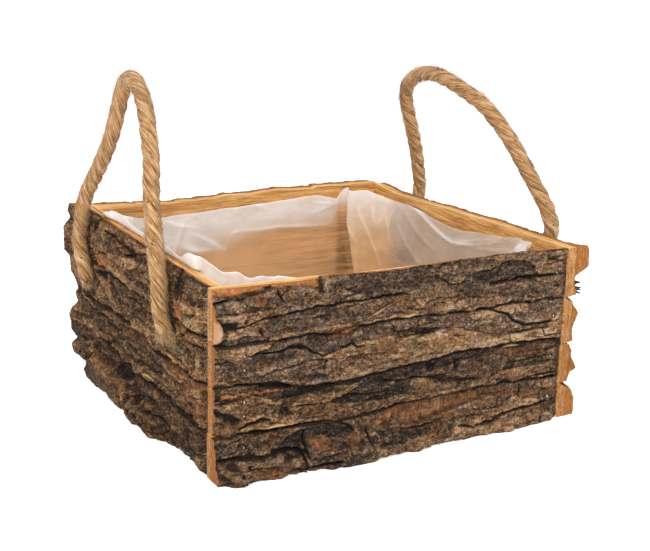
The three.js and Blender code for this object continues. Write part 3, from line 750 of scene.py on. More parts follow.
BUTT = {"front": 5.0, "right": 5.0, "back": 5.0, "left": 2.5}     # bark thickness where a slat butts against the next wall
WOBBLE = {"front": 0.6, "right": 0.8, "back": 1.0, "left": 1.4}  # waviness of the joints between rows
KNOB = [(-134, 100.0), (-130, 99.6), (-127.9, 97.2), (-127.0, 93.4), (-127.8, 89.8), (-130, 86.8), (-134, 85.8)]

# Marks on the bark, in wall millimetres (along, up): cracks as (points, width, depth).
CRACKS = {
    "front": [
        ([(-133.8, 109.8), (-128.7, 111.3), (-122, 113), (-115.8, 112.5), (-112.2, 113.9), (-106.9, 114.8), (-101.1, 116.2), (-95.8, 117.1)], 1.5, 4.0),
        ([(-93.4, 116.3), (-90, 109.2)], 0.8, 3.2),
        ([(-63.9, 120.5), (-62.8, 111.0)], 1.0, 3.5),
        ([(-126.5, 95.4), (-119.8, 95.5), (-115.1, 96.1), (-110.8, 97.5), (-104.2, 99.2), (-97.4, 100), (-90.7, 100.4), (-83.7, 101.6),
          (-76.4, 101.9), (-69.8, 103.1), (-63.2, 103.3), (-56.9, 102.7), (-48, 103.6), (-37.6, 103.4), (-27.1, 103.5), (-16.4, 103.9),
          (-9.2, 104.1), (-3.4, 103.8)], 0.8, 3.0),
        ([(-27, 103.5), (-9, 104.1), (-3.4, 103.8)], 1.5, 3.8),
        ([(58.8, 102.4), (73, 104.3)], 1.2, 3.0), ([(76, 103.8), (82.6, 105.4), (100, 104.4), (119.9, 104.3)], 1.3, 3.2),
        ([(22.2, 110.2), (27.7, 106.3), (39.1, 106.5)], 0.7, 2.2), ([(8, 96), (20, 98.5), (33, 97.2)], 0.55, 1.6),
        ([(-55.7, 85.6), (-47.5, 87.2), (-38.4, 87.6), (-32.8, 87.4)], 1.0, 3.0),
        ([(60, 85.8), (74.8, 81), (78.4, 76.8), (89.4, 71.4), (101.9, 71.2), (118.7, 71.7)], 1.1, 3.2),
        ([(86.1, 91.4), (86.1, 87.3)], 0.6, 2.0),
        ([(-113.2, 77.2), (-106.1, 78.4), (-97.7, 77.6), (-91.2, 77.3), (-84.6, 79.3), (-77.9, 79.3), (-72.5, 77.4), (-69.1, 74.4), (-62.9, 72), (-57.4, 72.5)], 0.9, 3.0),
        ([(-88, 78.2), (-84.6, 79.3), (-77.9, 79.3), (-72.5, 77.4)], 1.8, 3.6),
        ([(-102.8, 64), (-94.3, 66.2), (-86.4, 67), (-79.7, 68.2), (-72.3, 69.4)], 0.6, 2.0),
        ([(-132.1, 74.7), (-122.1, 75.3)], 0.6, 1.8), ([(-50.6, 74.8), (-42.3, 76.3), (-38.6, 73.5), (-33.7, 74.5)], 1.0, 2.8),
        ([(4.9, 86), (6.2, 74.6)], 0.6, 2.0), ([(-11.7, 79.5), (2.9, 80.3)], 0.6, 1.8),
        ([(76.7, 67), (77.9, 62)], 0.6, 2.0), ([(103.8, 67.8), (106.8, 62.5), (117.9, 61.9)], 0.8, 2.4),
        ([(-103, 57.6), (-92, 56.4), (-84, 54.6)], 2.2, 3.8), ([(-77.4, 51.7), (-64, 51.4), (-53.4, 51.7)], 1.6, 3.6),
        ([(-116.8, 32.5), (-109, 35), (-102.4, 36.5), (-97.2, 35.9)], 1.5, 3.4),
        ([(94.3, 34.3), (109.4, 34.6), (122.2, 34.8)], 1.0, 2.8), ([(35.6, 40.6), (53.8, 39)], 1.0, 2.8),
        ([(-10, 46), (4, 47.5), (18, 45.5), (31, 47)], 0.8, 2.6), ([(-60, 41), (-44, 43), (-30, 41.5)], 0.7, 2.0),
        ([(-131.5, 14.7), (-116.6, 14.6), (-103.5, 14.8), (-91.5, 15.3), (-82.1, 14.9), (-74.5, 12.2)], 1.9, 3.8),
        ([(-76.6, 13.3), (-75, 3.1), (-73.8, 0)], 1.2, 4.0), ([(-75, 3.6), (-66, 3.6), (-51.9, 4.2)], 1.3, 3.8),
        ([(-74, 25), (-75, 18), (-73, 8)], 1.1, 3.2), ([(-30.9, 20), (-29.8, 8), (-34, 4)], 0.8, 2.6),
        ([(87.8, 29.7), (87.8, 20.5)], 0.8, 3.0),
        ([(124, 14.9), (112.8, 14.4), (98.4, 13), (85.9, 12.9), (75.2, 11.7), (65.6, 8.2), (49.5, 7.4), (37.4, 10.1)], 1.3, 3.6),
        ([(105, 6.2), (105.1, 0)], 0.7, 2.4), ([(-5, 14), (12, 13), (25, 16)], 0.8, 2.4),
    ],
    "left": [
        ([(-70, 76.5), (-60, 78.5), (-48, 76)], 1.8, 3.6), ([(78, 118), (81, 110), (80, 100), (83, 92)], 2.0, 4.0),
        ([(-60, 113), (-40, 112), (-14, 109), (0, 110), (24, 115)], 1.6, 3.4), ([(-22, 104), (-6, 107), (14, 106)], 1.6, 3.4),
        ([(82.1, 85), (90, 81.5), (98, 82.5)], 1.2, 3.0), ([(-110, 96), (-96, 92), (-88, 94)], 0.8, 2.4),
        ([(-10, 78), (8, 80), (26, 77), (40, 79)], 0.9, 2.4), ([(-24, 54.5), (6, 56.2), (50, 56.6), (104, 57.6)], 0.9, 2.6),
        ([(-122, 47), (-104, 50), (-80, 47), (-60, 50), (-40, 48)], 1.4, 3.2), ([(-28, 22), (-14, 20), (0, 24)], 2.6, 4.2),
        ([(16, 44), (36, 41), (58, 45), (74, 43)], 0.9, 2.4), ([(-118, 18), (-98, 20), (-82, 17)], 0.9, 2.6),
        ([(30, 12), (52, 14), (70, 11), (96, 13)], 1.0, 2.8),
    ],
    "right": [], "back": [],
}
# Places where the outer bark has come away: (outline, depth, redness), and pale splinters: (points, width).
PEELS = {
    "front": [
        ([(-137, 123), (-137, 114.5), (-128.7, 114.2), (-122, 113.4), (-114.2, 113.6), (-107.9, 115.4), (-101.6, 117), (-94.7, 116.6), (-85.5, 116.2),
          (-75.7, 116.4), (-69, 113.8), (-65.2, 110.6), (-63.4, 110.6), (-63.4, 123)], 4.6, 1.25),
        ([(-109.7, 114), (-99.5, 112.6), (-100.4, 106.7), (-107.6, 107.9)], 0.7, 0.75),
        ([(-66, 114), (-57, 112), (-62, 106), (-72, 108)], 0.4, 0.35), ([(-35, 90.2), (-23.2, 94.2), (-9, 99.6), (-2, 103.2), (-5, 104), (-14.7, 99.6), (-26, 95.8)], 0.9, 0.95),
        ([(26.4, 77.4), (41.1, 75.6), (41.5, 70.1), (26.7, 72)], 0.5, 0.55), ([(48.9, 75), (77.1, 71.5), (73.8, 64.4), (51.5, 67.1)], 0.5, 0.5),
        ([(-22.3, 75), (-9.2, 73.3), (-8.9, 65.3), (-22, 67.1)], 0.6, 0.7), ([(-60, 84), (-36, 86), (-44, 80.5), (-58, 80)], 1.0, 0.65),
        ([(-128.5, 51.6), (-114.9, 52.4), (-98, 52.0), (-91, 52.2), (-92, 54.0), (-107, 55.2), (-127, 55.0)], 1.4, 1.1),
        ([(-60, 86.6), (-47, 86.8), (-34, 88), (-33.5, 86.5), (-46, 82.4), (-53, 83.0)], 1.2, 1.08),
        ([(-25.5, 22.6), (-17.4, 29), (-8.9, 28.6), (-10.8, 24), (-23.2, 18.3)], 0.7, 0.95),
        ([(57.8, 60), (80, 57.5), (103.3, 55.2), (100.9, 49.1), (80, 50.6), (60.3, 55.3)], 1.0, 0.75),
        ([(-128, 37), (-117, 33), (-121, 29), (-133, 30), (-133, 38)], 1.2, 0.6),
        ([(-71.3, 21.5), (-59.4, 19.5), (-56.2, 11.9), (-71.1, 13)], 0.8, 0.9), ([(-46, 20), (-34, 17), (-36, 10), (-48, 12)], 0.6, 0.7),
        ([(-113.3, 8.2), (-76.3, 5.3), (-76.1, 0), (-113.3, 0)], 1.2, 0.75),
        ([(-9.6, 31.4), (9.1, 31.3), (54.3, 31.4), (56.4, 24.6), (40.6, 22.9), (25.2, 19.7), (10, 16.7), (-5.1, 16.4), (-12, 24)], 2.6, 0.91),
        ([(56.7, 32), (86.2, 29.5), (86.4, 22), (57.2, 26)], 0.7, 0.8), ([(89, 28.5), (120.2, 23.8), (122.1, 15.6), (89.7, 19.6)], 0.8, 0.72),
    ],
    "left": [
        ([(-80, 91), (-66, 96), (-53, 93), (-52, 87), (-62, 82.5), (-76, 81.5)], -1.5, 0.98),
        ([(86, 40), (105, 45), (126, 43), (112, 33), (98, 34)], 0.4, 0.8), ([(-141, 27.5), (-124, 31), (-86, 28), (-50, 29), (-50, 26.5), (-86, 24.5), (-124, 27.5)], 0.5, 0.93),
        ([(-26, 53), (-8, 57.5), (4, 59.5), (22, 57.5), (24, 54), (6, 53.5), (-20, 50.5)], 0.6, 0.97), ([(-60, 24), (-30, 30), (-30, 17), (-54, 15)], 0.3, 0.72),
        ([(70, 96), (80, 95), (97, 87), (100, 84), (90, 83.5), (78, 88)], 1.2, 1.1), ([(-8, 58.5), (24, 61.5), (30, 57), (0, 54.5)], 1.2, 0.95),
        ([(56, 61), (80, 60.5), (101, 56), (97, 51.5), (74, 53.5)], 1.4, 1.05), ([(103, 58.5), (130, 57.5), (130, 53.5), (104, 54)], 1.0, 0.95),
        ([(-26, 54), (6, 57), (104, 57.6), (104, 55), (6, 53.4), (-26, 50.6)], 0.8, 0.65),
        ([(79.2, 34.5), (108.9, 43), (110, 33.3), (84, 24)], 0.5, 0.5), ([(-60, 29), (-30, 33), (-34, 16), (-60, 8)], 0.4, 0.35),
        ([(-132, 60), (-112, 57), (-100, 60), (-112, 64)], 1.0, 0.8), ([(-128, 52), (-100, 47), (-84, 48), (-100, 52.5)], 0.9, 0.7),
    ],
    "right": [], "back": [],
}
SPLINTERS = {
    "front": [([(-9.2, 88.6), (1, 89.6), (9.2, 88.4)], 1.5), ([(-105, 30.4), (-98.4, 31.6), (-90.4, 32), (-87.1, 31), (-79, 31)], 1.0),
              ([(72.5, 57.8), (79.8, 59), (86.4, 57.8)], 1.2), ([(-34, 91), (-23, 95.2), (-15, 98.2)], 0.5)],
    "left": [([(58.5, 60), (70, 59.4), (80, 57.4)], 0.9), ([(20, 33), (32, 35), (42, 34)], 0.8), ([(-120, 54), (-104, 51.6), (-92, 50.6)], 0.6)],
    "right": [], "back": [],
}
# hollows in the bark: (outline, depth), darkened with painted shade
HOLES = {
    "front": [([(-129.4, 100.5), (-119.7, 99.2), (-119, 95.2), (-128.6, 94.4)], 4.2), ([(-132.1, 45), (-120, 41.8), (-116.8, 37.5), (-119.3, 34.5), (-130.8, 40.5)], 4.4),
              ([(-89.6, 42.8), (-83.2, 42), (-82.6, 37.2), (-88.5, 37.4)], 3.2), ([(14, 54.9), (20.1, 54), (20.4, 49.3), (14.3, 50.1)], 3.6),
              ([(34.7, 55), (37.9, 54.6), (38.3, 46.7), (35.2, 46.6)], 3.8), ([(-72, 60.6), (-62, 60), (-60, 57.6), (-70, 57.4)], 1.5),
              ([(-88, 52), (-72, 52.5), (-54, 51.5), (-50, 47), (-61, 45.5), (-74, 46.5), (-83, 42), (-90, 39), (-91, 44)], 2.2),
              ([(6, 50), (18, 47.5), (29, 44.5), (52, 40.5), (52, 38.4), (43, 37.6), (26, 39.8)], 2.4), ([(69, 36), (80, 35), (79, 31.6), (70, 32.4)], 2.2)],
    "left": [([(-79, 80), (-66, 82), (-52, 84), (-54, 79.5), (-66, 76.5), (-78, 76)], 3.2), ([(-20, 112), (-1, 113.5), (32, 115), (30, 109.5), (-1, 106)], 2.4),
             ([(30, 43.5), (48, 44), (47, 39), (32, 39)], 2.4), ([(-90, 117), (-74, 118), (-82, 106), (-90, 105)], 2.4), ([(-68, 56), (-48, 60), (-50, 56), (-66, 53)], 2.3),
             ([(-60, 47), (-28, 50), (-30, 46), (-58, 43)], 2.3), ([(-8, 65), (4, 68), (3, 63), (-6, 61)], 2.2), ([(78, 119), (93, 117), (91, 108), (77, 96), (72, 104)], 3.0),
             ([(-30, 24), (-14, 28), (2, 30), (0, 22), (-16, 16), (-30, 14)], 4.0), ([(84, 118), (90, 112), (90, 100), (84, 98), (80, 108)], 3.6),
             ([(-70, 80), (-60, 81), (-58, 77), (-70, 75)], 3.2), ([(4, 109), (16, 112), (18, 104), (6, 103)], 2.6)],
    "right": [], "back": [],
}
BULGES = {   # (along, up, reach along, reach up, height)
    "front": [(-128, 0, 15, 12, 5.0), (-102, 1, 26, 17, 9.2), (-52, 5, 36, 15, 8.0), (-20, 0, 42, 12, 5.6), (40, 0, 56, 11, 4.4), (100, 0, 40, 9, 3.4), (-70, 68, 30, 9, 1.0), (100, 95, 25, 8, 0.8),
              (-96, 33, 16, 5, 1.4), (75, 44, 22, 7, 1.0)],
    "left": [(-30, 3, 56, 18, 10.4), (36, 3, 26, 16, 8.4), (-78, 8, 42, 15, 6.6), (88, 2, 20, 13, -0.6), (-66, 89, 9, 7, 1.6), (100, 96, 14, 8, 1.2), (-10, 46, 40, 9, 1.6), (60, 40, 26, 8, 1.2)],
    "right": [(40, 30, 30, 9, 1.5), (-40, 6, 40, 9, 2.2)],
    "back": [(-131, 100, 12, 9, 3.0), (0, 60, 40, 9, 1.4), (80, 20, 30, 8, 1.6)],
}
THIN_ENDS = {   # how far the bark is worn back at the exposed end, by height on the wall
    "front": [(0, 0.8), (10, 1.6), (28, 3.0), (56, 3.6), (75, 3.0), (85, 2.4), (88, 0.6), (100, 0.6), (103, 2.6), (108, 3.8), (120, 4.2)],
    "back": [(0, 1.0), (30, 2.0), (57, 1.0), (86, 2.5), (110, 0.5)],
}
END_PROFILE = {   # how far the change reaches along the slat, and (up, distance from the inner face) at the exposed end
    "right": (9.0, [(1, 14.6), (12, 14.3), (14.5, 13.2), (19.2, 11), (22.5, 7.5), (25.2, 6.6), (26.6, 7), (28.6, 7.5), (32.7, 8.8), (34.1, 14.8), (36.5, 12.8),
                    (38.9, 11.7), (43.6, 8.6), (47.9, 9.1), (50.3, 7.1), (52.9, 6.5), (54.4, 9.3), (58.7, 8.9), (61, 7.8), (65, 8.3), (69, 10.5), (73.4, 11.8),
                    (75.5, 11.6), (77.9, 9.6), (80.4, 6.9), (84.9, 6.5), (86.6, 7.1), (88, 9.5), (90.4, 8.5), (94.7, 7.5), (97.3, 6.6), (99.5, 6.5), (101.4, 7),
                    (103, 11.5), (104.7, 15.6), (106.5, 18), (113, 17.4), (117, 17.2), (119.3, 16.4), (121.6, 15.4), (124, 14)]),
    "left": (19.0, [(0, 16), (3, 17), (8, 18), (12, 12.3), (15, 15.4), (20, 17.6), (25, 17.5), (32, 18.9), (37, 16.3), (41, 11.4), (46, 12.9), (49, 13.6),
                    (51, 11), (58, 12.5), (66, 16.2), (78, 16.8), (82, 20.0), (86, 24.0), (91.6, 25.4), (97, 23.8), (100, 22.6), (104, 19.4), (108.5, 14.9), (113.4, 17.8), (118, 16)]),
}
# At the right wall's front end the slats part: shift of each joint, then bevels of each row's top and bottom edge.
END_GAPS = {"right": ((-0.4, -4.4, -3.8), (0.0, 2.6, 0.8, 3.4), (1.0, 0.9, 0.8, 0.0)), "front": ((0, 0, 0), (0.0, 0.8, 0.7, 0.9), (0.7, 0.7, 0.8, 0.0))}
TAILS = {"left": [[(-y, z) for y, z in LEFT_TAIL_FRONT], [(-y, z) for y, z in LEFT_TAIL_BACK]],
         "right": [list(RIGHT_TAIL_FRONT), list(RIGHT_TAIL_BACK)], "front": [], "back": []}
STAPLE_X = 113.7
STAINS_AND_SHADE = {   # on the inner faces: (outline in wall millimetres, strength with paler below zero, softness); stains, and painted shade in the dark strip by the back right corner post
    "back": [([(-108, 92), (-90, 92), (-84, 60), (-86, 15), (-108, 15)], 0.8, 6.0), ([(-85, 55), (-28, 54), (-28, 51.5), (-85, 49)], 0.7, 2.0),
             ([(-20, 72), (40, 70), (86, 80), (86, 48), (-10, 50)], -0.75, 12.0), ([(-84, 88), (-52, 88), (-50, 79), (-84, 78)], 0.35, 4.0)],
    "right": [([(58, 78), (70, 80), (84, 74), (82, 60), (68, 57), (56, 64)], 1.25, 8.0)],
}
rng_marks = np.random.default_rng(20)
for wall in ("right", "back"):
    for r, (z0, z1) in enumerate(ROWS):
        for _ in range(9):
            x, z = rng_marks.uniform(-125, 100), rng_marks.uniform(z0 + 4, z1 - 4)
            ln, slope = rng_marks.uniform(14, 60), rng_marks.normal(0, 0.05)
            k = int(ln / 7) + 2
            zz = z + slope * np.linspace(0, ln, k) + rng_marks.normal(0, 0.9, k)
            CRACKS[wall].append((list(zip(x + np.linspace(0, ln, k), zz)), rng_marks.uniform(0.6, 1.7), rng_marks.uniform(2.0, 3.8)))
        for _ in range(3):
            x, z = rng_marks.uniform(-120, 105), rng_marks.uniform(z0 + 4, z1 - 4)
            a_, b_ = rng_marks.uniform(7, 24), rng_marks.uniform(2.2, 6)
            ang = np.linspace(0, TAU, 11)[:-1]
            rad = rng_marks.uniform(0.7, 1.2, 10)
            PEELS[wall].append((list(zip(x + a_ * rad * np.cos(ang), z + b_ * rad * np.sin(ang))), rng_marks.uniform(0.5, 2.2), rng_marks.uniform(0.6, 1.1)))
        x, z = rng_marks.uniform(-100, 80), rng_marks.choice([z0 + 1.8, z1 - 1.8])
        SPLINTERS[wall].append(([(x, z), (x + 9, z + 0.8), (x + 20, z - 0.3)], rng_marks.uniform(0.7, 1.3)))
        if rng_marks.random() < 0.7:
            x, z = rng_marks.uniform(-110, 100), rng_marks.uniform(z0 + 6, z1 - 6)
            HOLES[wall].append(([(x - 6, z), (x, z + 2.5), (x + 6, z + 0.8), (x + 3, z - 2.6)], 3.2))


def bark(wall, row, X, Z, zl, zh, x0):
    """Thickness of the bark over the wood (mm) and its surface marks, on a grid of wall points."""
    sd = 1000 * (WALLS[wall] + 1) + 97 * row
    dx, dz = (X1 - x0) / (NX - 1), float(np.mean(zh - zl)) / (NZ - 1)
    wx = X + 4.5 * fbm(X / 28, Z / 9, sd + 11, 3)
    wz = Z + 1.9 * fbm(X / 24, Z / 8, sd + 12, 3)
    # broad plates of old bark, with a ledge or a crack between them
    f1, f2, pid, ox, oy = worley(wx / 52, wz / 13, sd + 21, 0.85)
    gap = f2 - f1
    slope = blur(np.hypot(np.gradient(gap, dx, axis=0), np.gradient(gap, dz, axis=1)), 4, 4)
    to_edge = gap / np.maximum(slope, 0.004)
    gate = smooth(0.0, 0.6, noise(X / 34, Z / 12, sd + 22)) * (0.35 + 0.65 * smooth(-0.25, 0.35, noise(X / 4, Z / 3, sd + 25)))
    width = 0.30 + 0.5 * (0.5 + 0.5 * noise(X / 12, Z / 6, sd + 23))
    plate_crack = np.exp(-(to_edge / width) ** 2) * gate
    plate_h = (pid - 0.5) * 1.5 + 1.2 * oy * noise(pid * 40, pid * 17, sd + 24)
    # long furrows with the grain
    fn = fbm(wx / 95, wz / 9.5, sd + 31, 2)
    furrow = np.exp(-(np.abs(fn) * 9 / (0.55 + 0.35 * noise(X / 19, Z / 9, sd + 33))) ** 2) \
        * smooth(0.05, 0.55, noise(X / 45, Z / 14, sd + 32))
    # flaked layers
    tt = 2.3 * fbm(wx / 32, wz / 10, sd + 41, 4, 0.5)
    lev = np.floor(tt)
    fr = tt - lev
    terrace = lev + smooth(0.42, 0.54, fr)
    riser = smooth(0.36, 0.46, fr) * smooth(0.62, 0.52, fr)
    # scales, granules and grain
    s1, s2, sid, sx, sy = worley(wx / 8.5, wz / 4.8, sd + 51)
    scale_crack = np.exp(-((s2 - s1) * 3.6 / 0.34) ** 2) * smooth(0.0, 0.5, noise(X / 20, Z / 9, sd + 52))
    v1, v2, vid, _, _ = worley(wx / 6.0, wz / 11, sd + 56)
    cross_crack = np.exp(-((v2 - v1) * 4.0 / 0.3) ** 2) * smooth(0.2, 0.6, noise(X / 17, Z / 11, sd + 57))
    g1, _, gid, _, _ = worley((X + noise(X / 3, Z / 3, sd + 53)) / 2.4, (Z + 0.7 * noise(X / 4, Z / 2.6, sd + 55)) / 2.1, sd + 54)
    fine = CHUNKY[wall] * (0.55 * (0.45 - g1) + 0.24 * (gid - 0.5)) + 0.22 * noise(X / 1.5, Z / 1.3, sd + 61) \
        + 0.14 * noise(X / 8, Z / 0.9, sd + 62)
    ribs = 0.26 * noise(X / 1.3, Z / 9, sd + 63)
    lumps = 0.0
    if wall == "left":
        fine = fine + 0.8 * ribs
        l1, l2, lid, _, _ = worley(wx / 24 + 0.3 * noise(X / 9, Z / 9, sd + 59), wz / 12, sd + 58)
        lumps = 3.6 * (0.55 - l1) + 2.0 * (lid - 0.5)
    elif wall == "front" and row == 0:
        fine = fine + 1.4 * ribs * smooth(3, -3, patch_distance(X, Z, RIBBED))
    h = BASE[wall][row] + 1.0 * fbm(X / 70, Z / 22, sd + 71, 2) + 0.62 * terrace + plate_h + lumps \
        + CHUNKY[wall] * ((sid - 0.5) * 0.45 + 0.28 * (sx * 0.5 + sy)) + fine
    for bx, bz, ra, rb, up_ in BULGES[wall]:
        q = ((X - bx) / ra) ** 2 + ((Z - bz) / rb) ** 2
        h = h + up_ * smooth(1.25, 0.15, q + 0.25 * noise(X / 7, Z / 5, sd + 73))
    h = np.maximum(h, 2.2) + 0.25 * np.minimum(h - 2.2, 0)
    # dark cracks and furrows, with painted shade in them
    cracks_and_shade = 0.92 * plate_crack + 0.62 * furrow + 0.30 * scale_crack + 0.44 * cross_crack
    drop = 1.7 * plate_crack + 1.2 * furrow + 0.45 * scale_crack + 0.5 * cross_crack
    glow = np.zeros_like(X)
    red = RED[wall][row]
    inner = smooth(0.15, 0.85, -0.42 * terrace + 0.9 * fbm(X / 40, Z / 13, sd + 81, 3) + red) * 0.62
    inner = inner + 0.45 * riser * smooth(-0.1, 0.5, noise(X / 16, Z / 7, sd + 82) + red)
    pale = np.zeros_like(X)
    # placed marks, with ragged outlines
    rx = X + 1.6 * fbm(X / 5, Z / 4, sd + 91, 3)
    rz = Z + 1.3 * fbm(X / 5, Z / 4, sd + 92, 3)
    for pts, deep, redness in PEELS[wall]:
        d = patch_distance(rx, rz, pts)
        m = smooth(0.45, -0.35, d)
        if deep > 2:
            h = h * (1 - m) + m * np.minimum(h, BASE[wall][row] - deep + 0.25 * (h - BASE[wall][row]))
        else:
            drop = drop + deep * m
        lip = np.exp(-(d / 0.6) ** 2)
        inner = np.maximum(inner * (1 - 0.4 * m), redness * m)
        glow = np.maximum(glow, m * smooth(0.7, 1.05, redness))
        cracks_and_shade = cracks_and_shade * (1 - 0.75 * m) + 0.35 * lip * (deep > 0.8)
        drop = drop - 0.6 * m * drop * (deep > 0.8) + (deep * m * 0.6 if 0.8 < deep <= 2 else 0)
    for pts, wide, deep in CRACKS[wall]:
        d, along, side = line_distance(rx * 0.35 + X * 0.65, rz * 0.45 + Z * 0.55, pts, sided=True)
        taper = np.sin(np.pi * np.clip(along, 0.03, 0.97)) ** 0.6
        w = 0.66 * wide * (0.45 + 0.75 * taper) * (1 + 0.5 * noise(X / 5, Z / 5, sd + 93))
        m = np.exp(-(d / np.maximum(w, 0.2)) ** 2)
        # one lip stands proud of the other
        h = h + 0.55 * np.sign(side) * taper * np.exp(-d / 6.0) * min(1.0, deep / 3.2) * smooth(0, 0.7, d)
        drop = np.maximum(drop, 0.8 * deep * m)
        cracks_and_shade = np.maximum(cracks_and_shade, m * (0.5 + 0.5 * smooth(-0.3, 0.3, noise(X / 3.6, Z / 2.6, sd + 89) + 0.25 * (wide - 0.6))))
        lip = np.exp(-((d - 1.8 * w) / 0.8) ** 2)
        inner = np.maximum(inner, 0.45 * lip * smooth(0.1, 0.6, noise(X / 13, Z / 8, sd + 94) + red))
    # painted shade in each hole
    for pts, deep in HOLES[wall]:
        d = patch_distance(rx, rz, pts)
        m = smooth(2.2, -2.4, d)
        drop = np.maximum(drop, 0.85 * deep * m + 0.3 * drop * m)
        cracks_and_shade = np.maximum(cracks_and_shade, (0.62 + 0.22 * noise(X / 3, Z / 2.4, sd + 99)) * m)
    for pts, wide in SPLINTERS[wall]:
        d, along = line_distance(X, Z + 0.3 * noise(X / 6, Z / 4, sd + 95), pts)
        w = wide * np.sin(np.pi * np.clip(along, 0.04, 0.96)) ** 0.8
        m = smooth(1.0, 0.55, d / np.maximum(w, 0.15))
        pale = np.maximum(pale, m)
        drop = drop * (1 - 0.9 * m)
        cracks_and_shade = cracks_and_shade * (1 - m)
        h = h + 0.8 * m
    if wall == "front" and row == 0:
        d = patch_distance(X + 0.3 * noise(X / 3, Z / 3, 5), Z, KNOB)
        m = smooth(0.5, -0.4, d)
        pale, cracks_and_shade, drop, inner = np.maximum(pale, m), cracks_and_shade * (1 - m), drop * (1 - m), inner * (1 - m)
        pale = pale + 0.6 * smooth(-0.2, -1.7, d) * smooth(88.0, 92.0, Z)
        h = h * (1 - m) + m * (6.6 + 3.6 * smooth(0, -3.0, d))
        cracks_and_shade = np.maximum(cracks_and_shade, 0.85 * np.exp(-((d - 1.3) / 1.2) ** 2) * (X > -131))
    # rounded, ragged long edges
    lo = Z - zl[:, None]
    hi = zh[:, None] - Z
    edge = np.minimum(lo, hi)
    soft = 1.6 + 1.2 * noise(X / 10, row * 3.3, sd + 96)
    fall = np.where(hi < lo, 1.0, 1.15) * np.clip(soft, 0.5, 3.0)
    if row == 0:
        fall = np.where(hi < lo, 0.45 * fall, fall)
    h = h - fall * np.exp(-edge / 1.25)
    if row == 0 and wall != "front":      # the bark thins out towards the rim
        h = h - (0.80 if wall == "left" else 0.15) * np.maximum(h - 1.8, 0) * np.exp(-np.maximum(hi, 0) / (3.2 + 1.4 * noise(X / 15, 2.1, sd + 66)))
    cracks_and_shade = np.maximum(cracks_and_shade, 0.7 * np.exp(-(edge / 0.65) ** 2) * np.where((row == 0) & (hi < lo), 0.35, 1.0))
    h = h - drop
    # the worn or broken exposed end
    if wall in END_PROFILE:
        reach, profile = END_PROFILE[wall]
        w = np.exp(-((X - x0) / (reach * (1 + 0.25 * noise(Z / 9, 1.7, sd + 74)))) ** 2)
        goal = blur(np.interp(Z, *np.array(profile).T), 0, 2) - WOOD_T
        h = h * (1 - w) + w * (np.minimum(goal, 15.0) + 0.8 * fine)
        cracks_and_shade = cracks_and_shade * (1 - 0.6 * w)
    else:
        end_h = np.interp(Z, *np.array(THIN_ENDS[wall]).T)
        h = h - (end_h + 0.7 * noise(Z / 6.0, 0.3, sd + 74)) * np.exp(-((X - x0) / 8.0) ** 2)
    # thinner where the slat butts against the next wall
    w = smooth(9.0, 0.5, X1 - X)
    h = h * (1 - w) + w * np.minimum(h, BUTT[wall] + 0.5 * fine)
    # the bark has closed over the staples' crowns, with a small pit where each leg went in, ringed with painted shade
    for k in (-1, 1):
        zc = 0.5 * (ROWS[row][0] + ROWS[row][1]) + (1.5 if k < 0 else -1.5)
        m = np.exp(-(((X - k * STAPLE_X) / 2.4) ** 2 + ((Z - zc) / 7.4) ** 2) ** 2)
        h = h * (1 - m) + m * np.maximum(h, 6.75 + 0.5 * fine)
        cracks_and_shade = cracks_and_shade * (1 - 0.4 * m)
        if wall != "left":
            for e in (-1, 1):
                r = np.hypot(X - k * STAPLE_X, Z - (zc + e * 4.7))
                m = np.exp(-(r / 1.05) ** 4)
                h = h * (1 - m) + m * 5.35
                cracks_and_shade = np.maximum(cracks_and_shade, 0.25 * np.exp(-((r - 1.2) / 0.6) ** 2))
    if row == 3:
        r = np.hypot(X - 18, Z - 4)
        m = np.exp(-(r / 3.2) ** 4)
        h = h * (1 - m) + m * np.maximum(h, 5.7)
    # painted shadow of the rope tails on the bark under them
    for tail in TAILS[wall]:
        d, _ = line_distance(X, Z, tail)
        cap = 6.7 + np.clip(d - 5.5, 0, 20) * 0.9
        h = np.minimum(h, cap)
        bed = smooth(7.0, 2.5, d)
        h = h + bed * np.clip(5.6 - h, 0, 1.6)
        cracks_and_shade = np.maximum(cracks_and_shade, 0.5 * smooth(7.5, 4.0, d))
    h = np.clip(h, 0.45, 18.0)
    # painted shade gathers in hollows and on downward-facing slopes, and proud and upward-facing spots get painted
    # light
    cav = blur(h, 5, 5) - h
    lean = blur(np.gradient(h, dz, axis=1), 1, 1)
    cracks_and_shade = np.clip(cracks_and_shade + 0.46 * smooth(0.15, 0.9, cav) + 0.58 * smooth(0.25, 1.3, lean), 0, 1)
    cracks_and_shade = cracks_and_shade * (1 - 0.78 * glow)
    deep_in = (4.5 + 3.5 * noise(X / 26, row * 1.7, sd + 88)) * (1 + 0.4 * noise(X / 4, Z / 3, sd + 87))
    cracks_and_shade = np.clip(cracks_and_shade + SHADE[wall][row] * np.exp(-(np.maximum(hi, 0) / np.maximum(deep_in, 1.0)) ** 1.5) * (1 - 0.6 * glow), 0, 1)
    # lighter bark on proud and upward-facing spots: partly weathering, partly painted light from above
    wear_and_highlight = smooth(0.1, 0.7, -cav) + 0.5 * smooth(0.1, 0.9, -lean)
